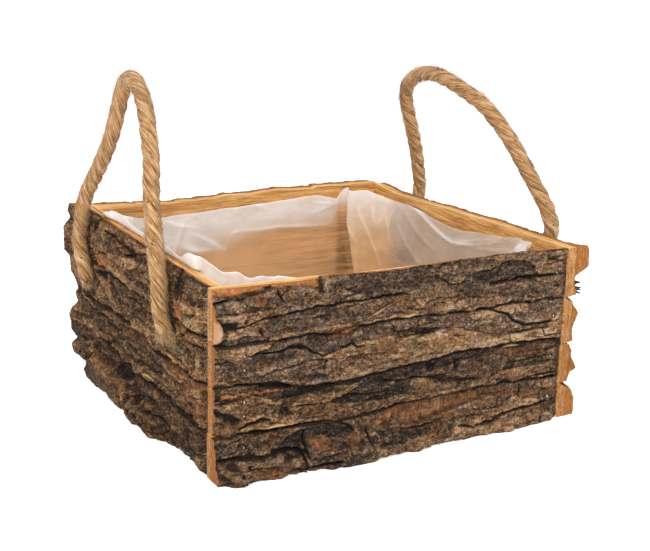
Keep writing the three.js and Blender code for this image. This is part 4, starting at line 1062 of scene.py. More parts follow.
    # tone: random plate and blotch tone, plus painted light on proud spots and painted shade in hollows
    tone = (pid - 0.5) * 0.8 + 0.45 * fbm(X / 18, Z / 7, sd + 97, 3) + 0.5 * wear_and_highlight - 0.25 * smooth(0.1, 0.9, cav) + TONE[wall][row]
    if wall == "front" and row in (1, 3):
        tone = tone + (0.28 if row == 1 else 0.34) * smooth(-5, 55, X)
    moss = smooth(0.0, 0.55, fbm(X / 26, Z / 11, sd + 98, 3)) * (1.0 if wall == "left" else 0.75)
    inner = np.clip(inner, 0, 1.3) * (1 - 0.55 * np.clip(cracks_and_shade, 0, 1))
    return h, {"cracks_and_shade": cracks_and_shade, "inner": inner, "pale": pale, "tone": tone, "moss": moss, "warm": np.full(X.shape, WARM[wall]) + 0.3 * (pid - 0.5)}


def make_slat(wall, row):
    sd = 1000 * (WALLS[wall] + 1) + 97 * row
    x0 = (-132.7 if row == 3 else -132.0) if wall == "front" else X0
    xs = np.linspace(x0, X1, NX)
    t = np.linspace(0, 1, NZ)
    zw0, zw1 = ROWS[row]
    ragged = lambda k: 0.10 + 0.55 * np.clip(0.35 + fbm(xs / 6.0, k * 5.1, sd + k, 4, 0.6), 0, 1.6)
    frac = (xs - x0) / (X1 - x0)
    near_end = np.exp(-((xs - x0) / (22.0 if wall == "right" else 5.0)) ** 2)
    shift, bevel_top, bevel_low = END_GAPS.get(wall, ((0, 0, 0), (0, 0, 0, 0), (0, 0, 0, 0)))
    bev_t, bev_l = bevel_top[row] * near_end, bevel_low[row] * near_end
    if row == 0:
        top_wood = WOOD_TOP[wall][0] * (1 - frac) + WOOD_TOP[wall][1] * frac + 0.35 * fbm(xs / 40, 0.7, sd + 3, 2)
        if wall == "front":
            top_wood = np.interp(xs, [-132, -63, -30, 122.7], [118.5, 118.3, 117.4, 118.0]) + 0.2 * fbm(xs / 30, 0.7, sd + 3, 2)
        elif wall in RIM:         # split tops, with small breaks
            top_wood = np.interp(xs, *np.array(RIM[wall]).T) - (2.3 if wall == "right" else 1.4) + 0.3 * fbm(xs / 9, 0.7, sd + 3, 3)
        step = np.clip(0.45 * np.floor(1.4 + 1.6 * noise(xs / 38, 2.2, sd + 4)), 0, 1.3)
        if wall == "left":
            zh = top_wood + 0.9 - 0.9 * ragged(1) - 0.6 * step
        else:
            proud = {"front": np.interp(xs, [-63, -42, -7, 25, 56, 88, 123], [2.9, 3.5, 2.8, 4.2, 4.4, 5.0, 3.4]),
                     "right": 0.75, "back": 0.75}[wall]
            zh = top_wood + proud - 0.9 * ragged(1) - 0.55 * step + 0.35 * noise(xs / 11, 4.4, sd + 14)
        if wall == "front":
            zh = np.where(xs < -63.4, top_wood + 0.2 - 0.4 * ragged(1), zh)
    else:
        top_wood = zw1 + shift[row - 1] * near_end
        seam = np.interp(xs, *np.array(SEAMS[wall][row - 1]).T)
        zh = seam + WOBBLE[wall] * fbm(xs / (9 + 4 * WOBBLE[wall]), row * 7.7, 1000 * (WALLS[wall] + 1) + row, 3) - ragged(1) - bev_t
    if row == 3:
        low_wood = np.full(NX, 0.05)
        zl = 0.03 + 0.3 * ragged(2)
    else:
        low_wood = zw0 + shift[row] * near_end
        seam = np.interp(xs, *np.array(SEAMS[wall][row]).T)
        zl = seam + WOBBLE[wall] * fbm(xs / (9 + 4 * WOBBLE[wall]), (row + 1) * 7.7, 1000 * (WALLS[wall] + 1) + row + 1, 3) + ragged(2) + bev_l
    X = np.repeat(xs[:, None], NZ, 1)
    Z = zl[:, None] + (zh - zl)[:, None] * t[None, :]
    h, marks = bark(wall, row, X, Z, zl, zh, x0)
    U = WOOD_T + h
    endcut = np.clip(0.55 * noise(Z / 6.0, 0.4, sd + 5) + 0.25 * noise(Z / 2.2, 0.9, sd + 6) + 0.35, 0, 1.5)
    Xo = X + endcut * np.exp(-(X - x0) / 3.0)
    if wall == "front":         # the bark breaks off unevenly at the butted end
        Xo = Xo - np.clip(0.8 + 1.3 * noise(Z / 5.5, 1.7, sd + 61) + 0.6 * noise(Z / 2.0, 2.7, sd + 62), 0, 2.6) * np.exp(-(X1 - X) / 2.5)
    outer = np.stack([Xo, U, Z], -1)
    # strips across the top and bottom edges, from the bark in to the wood
    fb = np.array([0.8, 0.6, 0.4, 0.2, 0.0])
    fw = np.array([0.72, 0.45, 0.18])
    K = len(fb) + len(fw)
    wood_u = WOOD_T + 0.25 * noise(xs / 14, 1.1, sd + 7)

    def strip(zb, zw, ub, sign, k0, bev):
        rows = []
        zc = zw - sign * bev
        lip = 0.25 if row == 0 and sign > 0 and wall == "front" else 1.0
        for q in fb:
            u = wood_u + (ub - wood_u) * q
            z = zc + (zb - zc) * q ** lip + sign * 0.35 * fbm(xs / 2.4, q * 9 + k0, sd + 8, 2) * (q > 0) * (q < 1)
            rows.append(np.stack([xs + (Xo[:, 0 if sign < 0 else -1] - xs) * q, u, np.maximum(z, 0.02)], -1))
        for q in fw:
            z = zw + (zc - zw) * q + 0.10 * sign * fbm(xs / 11, q * 7 + k0, sd + 9, 3)
            rows.append(np.stack([xs, wood_u * q, np.maximum(z, 0.0)], -1))
        return np.array(rows)

    top = strip(zh, top_wood, U[:, -1], 1, 1, bev_t)
    bot = strip(zl, low_wood, U[:, 0], -1, 2, bev_l)
    xc = xs[::COARSE]
    nxc, nzc = len(xc), (NZ - 1) // COARSE + 1
    tc = t[::COARSE].copy()
    if row == 0:
        tc[-2] = 1 - 0.9 / (zw1 - zw0)
    zi = low_wood[::COARSE, None] + (top_wood - low_wood)[::COARSE, None] * tc[None, :]
    inn = np.stack([np.repeat(xc[:, None], nzc, 1), 0.18 * fbm(xc[:, None] / 30, zi / 3.0, sd + 10, 3) * (0.2 + np.minimum(tc, 1 - tc))[None, :], zi], -1)
    inn[..., 1] = np.maximum(inn[..., 1], -0.12)
    caps = []
    for i in (0, NX - 1):
        rows = []
        for k in range(K):
            a_, b_ = bot[k, i], top[k, i]
            q = (fb[k] if k < len(fb) else 0.0)
            if k < len(fb):
                u = wood_u[i] + 0.35 * noise(t * 9, 3.3, sd + 12) * (q < 0.9) + (U[i] - wood_u[i]) * q
                z = low_wood[i] + bev_l[i] + (top_wood[i] - bev_t[i] - low_wood[i] - bev_l[i]) * t
                z = z + (Z[i] - z) * q
            else:
                u = wood_u[i] * fw[k - len(fb)] + 0 * t
                z = a_[2] + (b_[2] - a_[2]) * t
            x = xs[i] + (Xo[i] - xs[i]) * q + (0.22 * fbm(z / 2.2, u / 2.2, sd + 13, 2) if i == 0 else 0 * z)
            row_pts = np.stack([x, u, z], -1)
            row_pts[0], row_pts[-1] = a_, b_
            rows.append(row_pts[1:-1])
        caps.append(np.array(rows))
    # numbering
    n_out = NX * NZ
    vo = np.arange(n_out).reshape(NX, NZ)
    vt = n_out + np.arange(K * NX).reshape(K, NX)
    vb = vt[-1, -1] + 1 + np.arange(K * NX).reshape(K, NX)
    vi = vb[-1, -1] + 1 + np.arange(nxc * nzc).reshape(nxc, nzc)
    vc0 = vi[-1, -1] + 1 + np.arange(K * (NZ - 2)).reshape(K, NZ - 2)
    vc1 = vc0[-1, -1] + 1 + np.arange(K * (NZ - 2)).reshape(K, NZ - 2)
    P = np.vstack([outer.reshape(-1, 3), top.reshape(-1, 3), bot.reshape(-1, 3), inn.reshape(-1, 3),
                   caps[0].reshape(-1, 3), caps[1].reshape(-1, 3)])
    quads, mats, polys, pmats = [], [], [], []

    def add(a_, b_, c_, d_, m):
        q = np.stack([a_, b_, c_, d_], -1).reshape(-1, 4)
        quads.append(q)
        mats.append(np.full(len(q), m))

    add(vo[:-1, :-1], vo[1:, :-1], vo[1:, 1:], vo[:-1, 1:], 0)
    T = np.vstack([vo[None, :, -1], vt])
    B = np.vstack([vo[None, :, 0], vb])
    nb = len(fb)
    for lo_, hi_, m in ((0, nb, 1), (nb, K, 2)):
        add(T[lo_:hi_, :-1], T[lo_:hi_, 1:], T[lo_ + 1:hi_ + 1, 1:], T[lo_ + 1:hi_ + 1, :-1], m)
        add(B[lo_:hi_, :-1], B[lo_ + 1:hi_ + 1, :-1], B[lo_ + 1:hi_ + 1, 1:], B[lo_:hi_, 1:], m)
    add(vi[:-1, :-1], vi[:-1, 1:], vi[1:, 1:], vi[1:, :-1], 2)
    cidx = np.arange(nxc - 1)
    fine = cidx[:, None] * COARSE + np.arange(COARSE + 1)[None, :]
    polys.append(np.hstack([T[K][fine], vi[cidx + 1, -1][:, None], vi[cidx, -1][:, None]]))
    polys.append(np.hstack([vi[cidx, 0][:, None], vi[cidx + 1, 0][:, None], B[K][fine][:, ::-1]]))
    pmats += [np.full(len(cidx), 2)] * 2
    for i, vc, flip in ((0, vc0, False), (NX - 1, vc1, True)):
        C = np.vstack([vo[None, i, :]] + [np.concatenate([[vb[k, i]], vc[k], [vt[k, i]]])[None] for k in range(K)])
        for lo_, hi_, m in ((0, nb, 1), (nb, K, 3)):
            args = (C[lo_:hi_, :-1], C[lo_:hi_, 1:], C[lo_ + 1:hi_ + 1, 1:], C[lo_ + 1:hi_ + 1, :-1])
            add(*(args[::-1] if flip else args), m)
        cz = np.arange(nzc - 1)
        fz = cz[:, None] * COARSE + np.arange(COARSE + 1)[None, :]
        ic = vi[0 if i == 0 else -1]
        poly = np.hstack([C[K][fz], ic[cz + 1][:, None], ic[cz][:, None]])
        polys.append(poly[:, ::-1] if flip else poly)
        pmats.append(np.full(len(cz), 3))
    n = len(P)
    attrs = {}
    for key, v in marks.items():
        full = np.zeros(n)
        full[:n_out] = v.ravel()
        if key == "cracks_and_shade":
            seam_shade = 0.82 * (1 - (near_end if wall == "right" else 0))
            for k in range(nb):
                full[vt[k]] = v[:, -1] * 0.5 * fb[k] if row == 0 else seam_shade
                full[vb[k]] = v[:, 0] * 0.5 * fb[k] if row == 3 else seam_shade
        if key == "pale":
            for k in range(nb):
                full[vc0[k]] = np.clip(v[0, 1:-1], 0, 1) * (fb[k] > 0.3)
        attrs[key] = full
    stain_and_light = np.zeros(n)
    sx, sz = inn[..., 0], inn[..., 2]
    for pts, strength, soft in STAINS_AND_SHADE.get(wall, ()):
        d = patch_distance(sx + 2.0 * noise(sx / 30, sz / 2.2, sd + 15), sz + 0.8 * noise(sx / 22, sz / 3, sd + 16), pts)
        m = strength * smooth(soft, -soft, d)
        if strength > 0:
            m = m * np.clip(0.8 + 0.7 * noise(sx / 40, sz / 1.9, sd + 17), 0.25, 1.3)
        stain_and_light[vi.ravel()] += m.ravel()
    if row == 0:                # a painted highlight along the rim's inner arris, and painted shade making its top browner
        stain_and_light[vi[:, -1]] = -0.95
        stain_and_light[vt[K - 1]] = -0.5
        stain_and_light[vt[nb:K - 1].ravel()] += 0.12
    attrs["stain_and_light"] = stain_and_light
    # painted shade on each sawn end, by wall and row
    attrs["end_shade"] = END_SHADE[wall][row] * np.clip(0.85 + 0.55 * noise(P[:, 2] / 7, P[:, 1] / 2.5, sd + 18), 0.2, 1.3)
    loc = P.copy()
    loc[:, 0] += 311.0 * (4 * WALLS[wall] + row)
    loc[:, 2] += 57.0 * row
    attrs["loc"] = loc
    world = to_world(wall, P)
    world[:, 2] = np.maximum(world[:, 2], 0.0)
    obj = build(f"{wall}_slat_{row + 1}_bark", world, [np.vstack(quads)] + [np.vstack(polys)],
                [BARK, SECTION, WOOD, WOOD_END], [np.concatenate(mats), np.concatenate(pmats)], attrs, sharp=48)
    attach(obj, "basket")
    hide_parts(f"{wall}_slat_{row + 1}")
    return obj


for wall in WALLS:
    for row in range(4):
        make_slat(wall, row)


# ---------------------------------------------------------------- saw fibres and torn shards at the corners
def shard_material():
    n = Nodes("bark_shard")
    loc = n.new("ShaderNodeTexCoord").outputs["Object"]
    grain = n.noise(loc, scale=700, detail=3, rough=0.7)
    value = n.math("ADD", n.math("MULTIPLY", n.attr("tint"), 0.6), n.math("MULTIPLY", grain, 0.4))
    col = n.ramp(value, [(0.1, (0.012, 0.008, 0.006)), (0.45, (0.06, 0.034, 0.022)), (0.7, (0.22, 0.10, 0.04)), (0.9, (0.45, 0.23, 0.09))])
    n.set(color=col, rough=0.9, spec=0.2, normal=n.bump(grain, 0.0004, 0.9))
    return n.mat


def corner_bits(name, wall, spots, aim, spread, curl, lengths, radii, tints, seed, material):
    """Loose bits on a wall: spots are (count, along, along, out, out, up, up)."""
    rng = np.random.default_rng(seed)
    P, D, B, L, R, T = [], [], [], [], [], []
    for count, xa, xb, ua, ub, za, zb in spots:
        for _ in range(count):
            P.append([rng.uniform(xa, xb), rng.uniform(ua, ub), rng.uniform(za, zb)])
            D.append(np.array(aim) + rng.normal(0, spread, 3))
            B.append(rng.normal(0, curl, 3))
            L.append(rng.uniform(*lengths))
            R.append(rng.uniform(*radii))
            T.append(rng.uniform(*tints))
    origin = to_world(wall, np.zeros((1, 3)))
    P = to_world(wall, np.array(P))
    D, B = (to_world(wall, np.array(v)) - origin for v in (D, B))
    obj = hair_mesh(name, P, D, B, L, R, T, material)
    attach(obj, "basket")
    return obj


SHARD = shard_material()
corner_bits("front_saw_fibres", "front", [(90, -132.2, -131.4, 0.5, 7.5, 62, 117), (34, -132.2, -131.4, 0.5, 7.5, 6, 38), (26, -132.2, -131.6, 0.5, 6, 95, 108)],
            (-1.0, -0.15, -0.05), 0.45, 0.55, (1.6, 4.6), (0.06, 0.12), (0.6, 1.0), 771, FIBRE)
corner_bits("right_saw_fibres", "right", [(50, -135.2, -134.4, 0.5, 9, 4, 118)], (-1.0, 0.1, -0.05), 0.5, 0.5, (0.8, 2.2), (0.06, 0.12), (0.5, 1.0), 772, FIBRE)
corner_bits("left_saw_fibres", "left", [(40, -135.2, -134.4, 0.5, 9, 4, 116)], (-1.0, 0.1, -0.05), 0.5, 0.5, (0.8, 2.2), (0.06, 0.12), (0.5, 1.0), 773, FIBRE)
corner_bits("back_saw_fibres", "back", [(40, -135.2, -134.4, 0.5, 9, 4, 116)], (-1.0, 0.1, -0.05), 0.5, 0.5, (0.8, 2.4), (0.06, 0.12), (0.5, 1.0), 774, FIBRE)
corner_bits("right_bark_shards", "right", [(5, -134.0, -131.0, 6.0, 7.5, 89.6, 92.0), (4, -134, -131, 5.5, 6.5, 94.0, 96.6)], (-0.1, 1.0, -0.15), 0.16, 0.08,
            (4.5, 8.5), (1.1, 1.9), (0.0, 0.9), 775, SHARD)

# ---------------------------------------------------------------- posts and bottom board
def wood_block(name, lo, hi, axis, seed, step, radius, material, node, wane=0.0):
    """A sawn piece with softened, slightly uneven edges; axis is the grain's direction."""
    lo, hi = np.array(lo, float), np.array(hi, float)
    counts = np.maximum(np.round((hi - lo) / step).astype(int), 2) + 1
    grids = []
    pts, faces, start = [], [], 0
    key = {}
    order = []

    def vid(p):
        k = tuple(np.round(p, 5))
        if k not in key:
            key[k] = len(order)
            order.append(p)
        return key[k]

    spans = [np.linspace(lo[k], hi[k], counts[k]) for k in range(3)]
    # closer lines near the edges, so that they round cleanly
    for k in range(3):
        e = min(radius, 0.2 * (hi[k] - lo[k]))
        spans[k] = np.unique(np.round(np.concatenate([spans[k][(spans[k] > lo[k] + e) & (spans[k] < hi[k] - e)],
                                                      [lo[k], lo[k] + 0.35 * e, lo[k] + e, hi[k] - e, hi[k] - 0.35 * e, hi[k]]]), 5))
    quads = []
    for k in range(3):
        a, b = (k + 1) % 3, (k + 2) % 3
        for end, flip in ((0, True), (-1, False)):
            ids = np.empty((len(spans[a]), len(spans[b])), int)
            for i, va in enumerate(spans[a]):
                for j, vb_ in enumerate(spans[b]):
                    p = np.zeros(3)
                    p[k], p[a], p[b] = spans[k][end], va, vb_
                    ids[i, j] = vid(p)
            q = np.stack([ids[:-1, :-1], ids[1:, :-1], ids[1:, 1:], ids[:-1, 1:]], -1).reshape(-1, 4)
            quads.append(q[:, ::-1] if flip else q)
    P = np.array(order)
    mid, half = (lo + hi) / 2, (hi - lo) / 2
    core = np.clip(P, lo + radius, hi - radius)
    d = P - core
    ln = np.linalg.norm(d, axis=1)
    P = np.where(ln[:, None] > 1e-6, core + d / np.maximum(ln, 1e-6)[:, None] * radius, P)
    o = [k for k in range(3) if k != axis]
    rough = 0.16 * fbm(P[:, axis] / 25 + P[:, o[1]], P[:, o[0]] / 2.5, seed, 3)
    nrm = (P - mid) / half
    big = np.argmax(np.abs(nrm), axis=1)
    for k in range(3):
        if k == axis:
            continue
        P[:, k] -= np.where(big == k, np.sign(nrm[:, k]) * np.abs(rough), 0)
    P[:, 2] = np.maximum(P[:, 2], lo[2])
    loc = np.stack([P[:, axis] + 37.0 * seed, P[:, o[0]], P[:, o[1]]], 1)
    obj = build(name, P, [np.vstack(quads)], [material], attrs={"loc": loc}, sharp=50)
    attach(obj, "basket")
    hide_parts(node)
    return obj


for k, node in enumerate(("corner_post_front_right", "corner_post_back_right", "corner_post_back_left", "corner_post_front_left")):
    lo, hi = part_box(node)
    wood_block(node + "_wood", np.array(lo) / MM, np.array(hi) / MM, 2, 5 + k, 3.0, 0.9, WOOD, node)
lo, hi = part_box("bottom_board")
wood_block("bottom_board_wood", np.array(lo) / MM, np.array(hi) / MM, 0, 11, 3.0, 0.8, WOOD_OLD, "bottom_board")


# ---------------------------------------------------------------- staples and nails
def wire(points, radius, sides=10, flat=1.0):
    """A closed round wire along a bent path with softened corners."""
    pts = np.asarray(points, float)
    out = [pts[0]]
    for a_, b_, c_ in zip(pts[:-2], pts[1:-1], pts[2:]):
        r = min(1.1, 0.4 * np.linalg.norm(b_ - a_), 0.4 * np.linalg.norm(c_ - b_))
        p, q = b_ + (a_ - b_) / np.linalg.norm(a_ - b_) * r, b_ + (c_ - b_) / np.linalg.norm(c_ - b_) * r
        for u in np.linspace(0, 1, 5):
            out.append((1 - u) ** 2 * p + 2 * u * (1 - u) * b_ + u * u * q)
    out.append(pts[-1])
    path = np.array(out)
    tan, a_, b_ = frames(path)
    ang = np.arange(sides) / sides * TAU
    ring = path[:, None, :] + radius * (np.cos(ang)[None, :, None] * a_[:, None, :] + flat * np.sin(ang)[None, :, None] * b_[:, None, :])
    n = len(path)
    verts = np.vstack([ring.reshape(-1, 3), path[:1] - tan[:1] * radius, path[-1:] + tan[-1:] * radius])
    j = np.arange(sides)
    tris = np.vstack([np.stack([np.full(sides, n * sides), (j + 1) % sides, j], 1),
                      np.stack([np.full(sides, n * sides + 1), (n - 1) * sides + j, (n - 1) * sides + (j + 1) % sides], 1)])
    return verts, tube_faces(n, sides), tris


def add_wire(name, wall, pts, radius, node=None):
    v, q, t = wire(pts, radius)
    obj = build(name, to_world(wall, v), [q, t], [STEEL], sharp=60)
    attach(obj, "basket")
    if node:
        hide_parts(node)
    return obj


for wall in WALLS:
    for row in range(4):
        for k, tag in ((-1, "left"), (1, "right")):
            zc = 0.5 * (ROWS[row][0] + ROWS[row][1]) + (1.5 if k < 0 else -1.5)
            x = k * STAPLE_X
            node = f"{wall}_staple_{row + 1}_{tag}" if row < 3 else None
            dz = 5.4
            tip = -7.3 if row < 3 else 1.0
            add_wire(f"{wall}_staple_{row + 1}_{tag}_wire", wall, [(x, tip, zc - dz), (x, 11.5, zc - dz), (x, 11.5, zc + dz), (x, tip, zc + dz)], 0.6, node)
    # nail through the lowest slat into the board
    ang = np.arange(20) / 20 * TAU
    prof = [(0.0, 10.75), (1.2, 10.7), (1.75, 10.5), (2.0, 10.2), (1.95, 9.95), (0.85, 9.7), (0.8, 5.0), (0.8, -8.0), (0.05, -11.0)]
    rings = np.array([[(18 + r * math.cos(a_), u, 4 + r * math.sin(a_)) for a_ in ang] for r, u in prof[1:]])
    verts = np.vstack([rings.reshape(-1, 3), [(18, prof[0][1], 4)], [(18, prof[-1][1] - 0.05, 4)]])
    m = len(prof) - 1
    j = np.arange(20)
    q = tube_faces(m, 20)
    tr = np.vstack([np.stack([np.full(20, m * 20), (j + 1) % 20, j], 1), np.stack([np.full(20, m * 20 + 1), (m - 1) * 20 + j, (m - 1) * 20 + (j + 1) % 20], 1)])
    nail = build(f"{wall}_nail_head", to_world(wall, verts), [q, tr], [STEEL], sharp=40)
    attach(nail, "basket")
    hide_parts(f"{wall}_nail")
for which, side in (("left", -1), ("right", 1)):
    for end in ("front", "back"):
        node = f"{which}_tail_staple_{end}"
        lo, hi = (np.array(v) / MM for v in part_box(node))
        tail = {"leftfront": LEFT_TAIL_FRONT, "leftback": LEFT_TAIL_BACK, "rightfront": RIGHT_TAIL_FRONT, "rightback": RIGHT_TAIL_BACK}[which + end]
        y0, y1, z = lo[1] + 0.8, hi[1] - 0.8, 0.5 * (lo[2] + hi[2])
        sgn = 1 if which == "right" else -1
        y0, y1 = 0.5 * (y0 + y1) - 3.6, 0.5 * (y0 + y1) + 3.6
        pts = [(sgn * y0, 2.2, z), (sgn * y0, 21.2, z), (sgn * y1, 21.2, z), (sgn * y1, 2.2, z)]
        add_wire(node + "_wire", which, pts, 0.7, node)

# ---------------------------------------------------------------- film liner
FILM_OUT, CH, FLOOR_Z = 122.3, 86.0, 8.7
# Height of the film's edge: (wall coordinate, up) for each wall in the object's own x or y.
EDGE = {
    "left": [(-86, 128.6), (-80, 128.4), (-74.5, 127.2), (-69, 124.8), (-64.5, 122.5), (-57, 121.9), (-50, 122.3), (-45, 124.0), (-39, 124.8), (-30, 124.4), (0, 122.8), (16, 122.4), (30, 123.8), (51, 126.6), (65, 126.2), (73, 122.8), (80, 121.2), (86, 120.4)],
    "back": [(-86, 106.0), (-68, 105.3), (-45, 106.2), (-20, 107.8), (7, 109.3), (37, 111.3), (66, 113.4), (83.5, 109.5), (86, 109.2)],
    "right": [(-86, 117.0), (-83, 116.8), (-60, 112.5), (-35, 110.2), (-11.9, 107.0), (11.4, 106.9), (28.6, 108.9), (58.6, 112.7), (86, 111.4)],
    "front": [(-86, 119.3), (-79, 118.4), (-73, 117.0), (-66, 115.4), (-40, 113.5), (0, 112.0), (50, 112.5), (86, 113.5)],
}
# Folds: points as (way round from the left wall's front end, up), how far the ridge stands out, its milkiness with a
# painted highlight along the ridge, and its width.
CREASES = [
    ([(300, 87.6), (307.6, 88.3), (322.1, 88.1), (339.7, 89.4), (363.2, 87.9), (393.6, 86.6)], 1.8, 0.14, 1.9),
    ([(371.2, 107.9), (393, 104.2)], 1.0, 0.14, 1.0), ([(371.4, 98.7), (393, 104.2)], 1.0, 0.12, 1.0),
    ([(316.5, 109.7), (328, 105.7)], 0.9, 0.14, 0.9), ([(264.5, 89.8), (278, 82.5), (292, 74.7)], 1.4, 0.12, 2.2),
    ([(292, 74.7), (262.7, 75.7), (254.3, 82.2)], 1.0, 0.08, 2.0), ([(236, 104), (252, 97), (270, 94)], 1.2, 0.10, 1.8),
    ([(417.4, 102.5), (426.9, 81.1), (436.3, 56.3)], 2.0, 0.16, 1.1), ([(406.6, 109.3), (406.5, 90.5), (409.6, 75.2), (412, 53.6)], 0.6, 0.22, 1.0),
    ([(407.3, 90.5), (414.8, 75.7)], 1.0, 0.14, 0.9), ([(428.5, 106.5), (429.8, 95.5), (431.7, 88.6)], 1.2, 0.14, 1.0),
    ([(439, 103.4), (445.7, 72.4)], 1.4, 0.12, 1.2), ([(452.7, 107), (445.4, 98.8), (442.8, 89.8)], 1.2, 0.14, 0.9), ([(432, 88.9), (438, 100)], 1.0, 0.12, 0.9),
    ([(474, 113.5), (492.3, 108.8), (508.8, 103.2), (524.8, 98.5), (536, 96.6), (555.9, 98.9), (563.6, 100.2)], 0.8, 0.26, 0.95),
    ([(532.3, 97.8), (552.8, 99.9), (563.7, 103), (580.7, 107.3), (596.2, 112.1)], 1.2, 0.18, 1.0), ([(537.9, 93.7), (557.8, 99.5)], 0.9, 0.14, 0.9),
    ([(537, 104), (543.1, 108.2)], 0.8, 0.14, 0.8), ([(580.7, 103.8), (596.5, 110.1)], 1.0, 0.16, 0.9), ([(568, 98), (593.6, 102.3), (606.2, 105.5)], 1.0, 0.14, 1.0),
    ([(600, 100), (618, 108), (634, 116)], 1.2, 0.2, 1.2), ([(455, 92), (470, 78), (492, 66)], 1.2, 0.07, 1.8), ([(470, 104), (488, 92), (512, 84)], 1.0, 0.06, 2.0),
]
PERIM, FILM_V, FILM_B = 780, 98, 34


def film_outline():
    """The octagon the film lies in, from the left wall's front end, clockwise seen from above, with the edge height."""
    segs = [((-FILM_OUT, -CH), (-FILM_OUT, CH), "left"), ((-FILM_OUT, CH), (-CH, FILM_OUT), "bl"), ((-CH, FILM_OUT), (CH, FILM_OUT), "back"),
            ((CH, FILM_OUT), (FILM_OUT, CH), "br"), ((FILM_OUT, CH), (FILM_OUT, -CH), "right"), ((FILM_OUT, -CH), (CH, -FILM_OUT), "fr"),
            ((CH, -FILM_OUT), (-CH, -FILM_OUT), "front"), ((-CH, -FILM_OUT), (-FILM_OUT, -CH), "fl")]
    corner_top = {"bl": [(0, 120.6), (0.12, 119.4), (0.27, 116.6), (0.45, 112.8), (0.65, 109.6), (0.85, 106.8), (1, 106.0)],
                  "br": [(0, 109.2), (0.06, 113.6), (0.12, 117.0), (0.17, 118.6), (0.216, 119.0), (0.25, 117.9), (0.304, 117.6), (0.42, 118.8), (0.556, 118.9), (0.692, 116.1), (0.85, 113.5), (1, 111.4)],
                  "fr": [(0, 117.0), (0.25, 118.2), (0.4, 118.9), (0.49, 119.1), (0.54, 117.4), (0.62, 115.4), (0.8, 115.2), (1, 113.5)], "fl": [(0, 119.3), (0.1, 118.8), (0.21, 117.9), (0.3, 117.0), (0.36, 115.6), (0.42, 117.0), (0.5, 118.1), (0.58, 118.7), (0.66, 118.2), (0.71, 118.5), (0.89, 123.6), (1, 128.4)]}
    pts, tops, label = [], [], []
    lens = [math.dist(a_, b_) for a_, b_, _ in segs]
    total = sum(lens)
    at = np.arange(PERIM) / PERIM * total
    run = 0
    for (a_, b_, name), ln in zip(segs, lens):
        inside = (at >= run - 1e-9) & (at < run + ln - 1e-9)
        q = (at[inside] - run) / ln
        p = np.array(a_)[None] * (1 - q)[:, None] + np.array(b_)[None] * q[:, None]
        pts.append(p)
        if name in EDGE:
            key = p[:, 1] if name in ("left", "right") else p[:, 0]
            tops.append(np.interp(key, *np.array(EDGE[name]).T))
        else:
            tops.append(np.interp(q, *np.array(corner_top[name]).T))
        label += [name] * len(q)
        run += ln
    return np.vstack(pts), np.concatenate(tops), np.array(label), at, total


def cyc(a_, r):
    n = len(a_)
    k = np.arange(-r, r + 1)
    w = np.exp(-(k / (0.5 * r + 1e-6)) ** 2)
    w /= w.sum()
    return sum(wi * np.roll(a_, ki, axis=0) for wi, ki in zip(w, k))


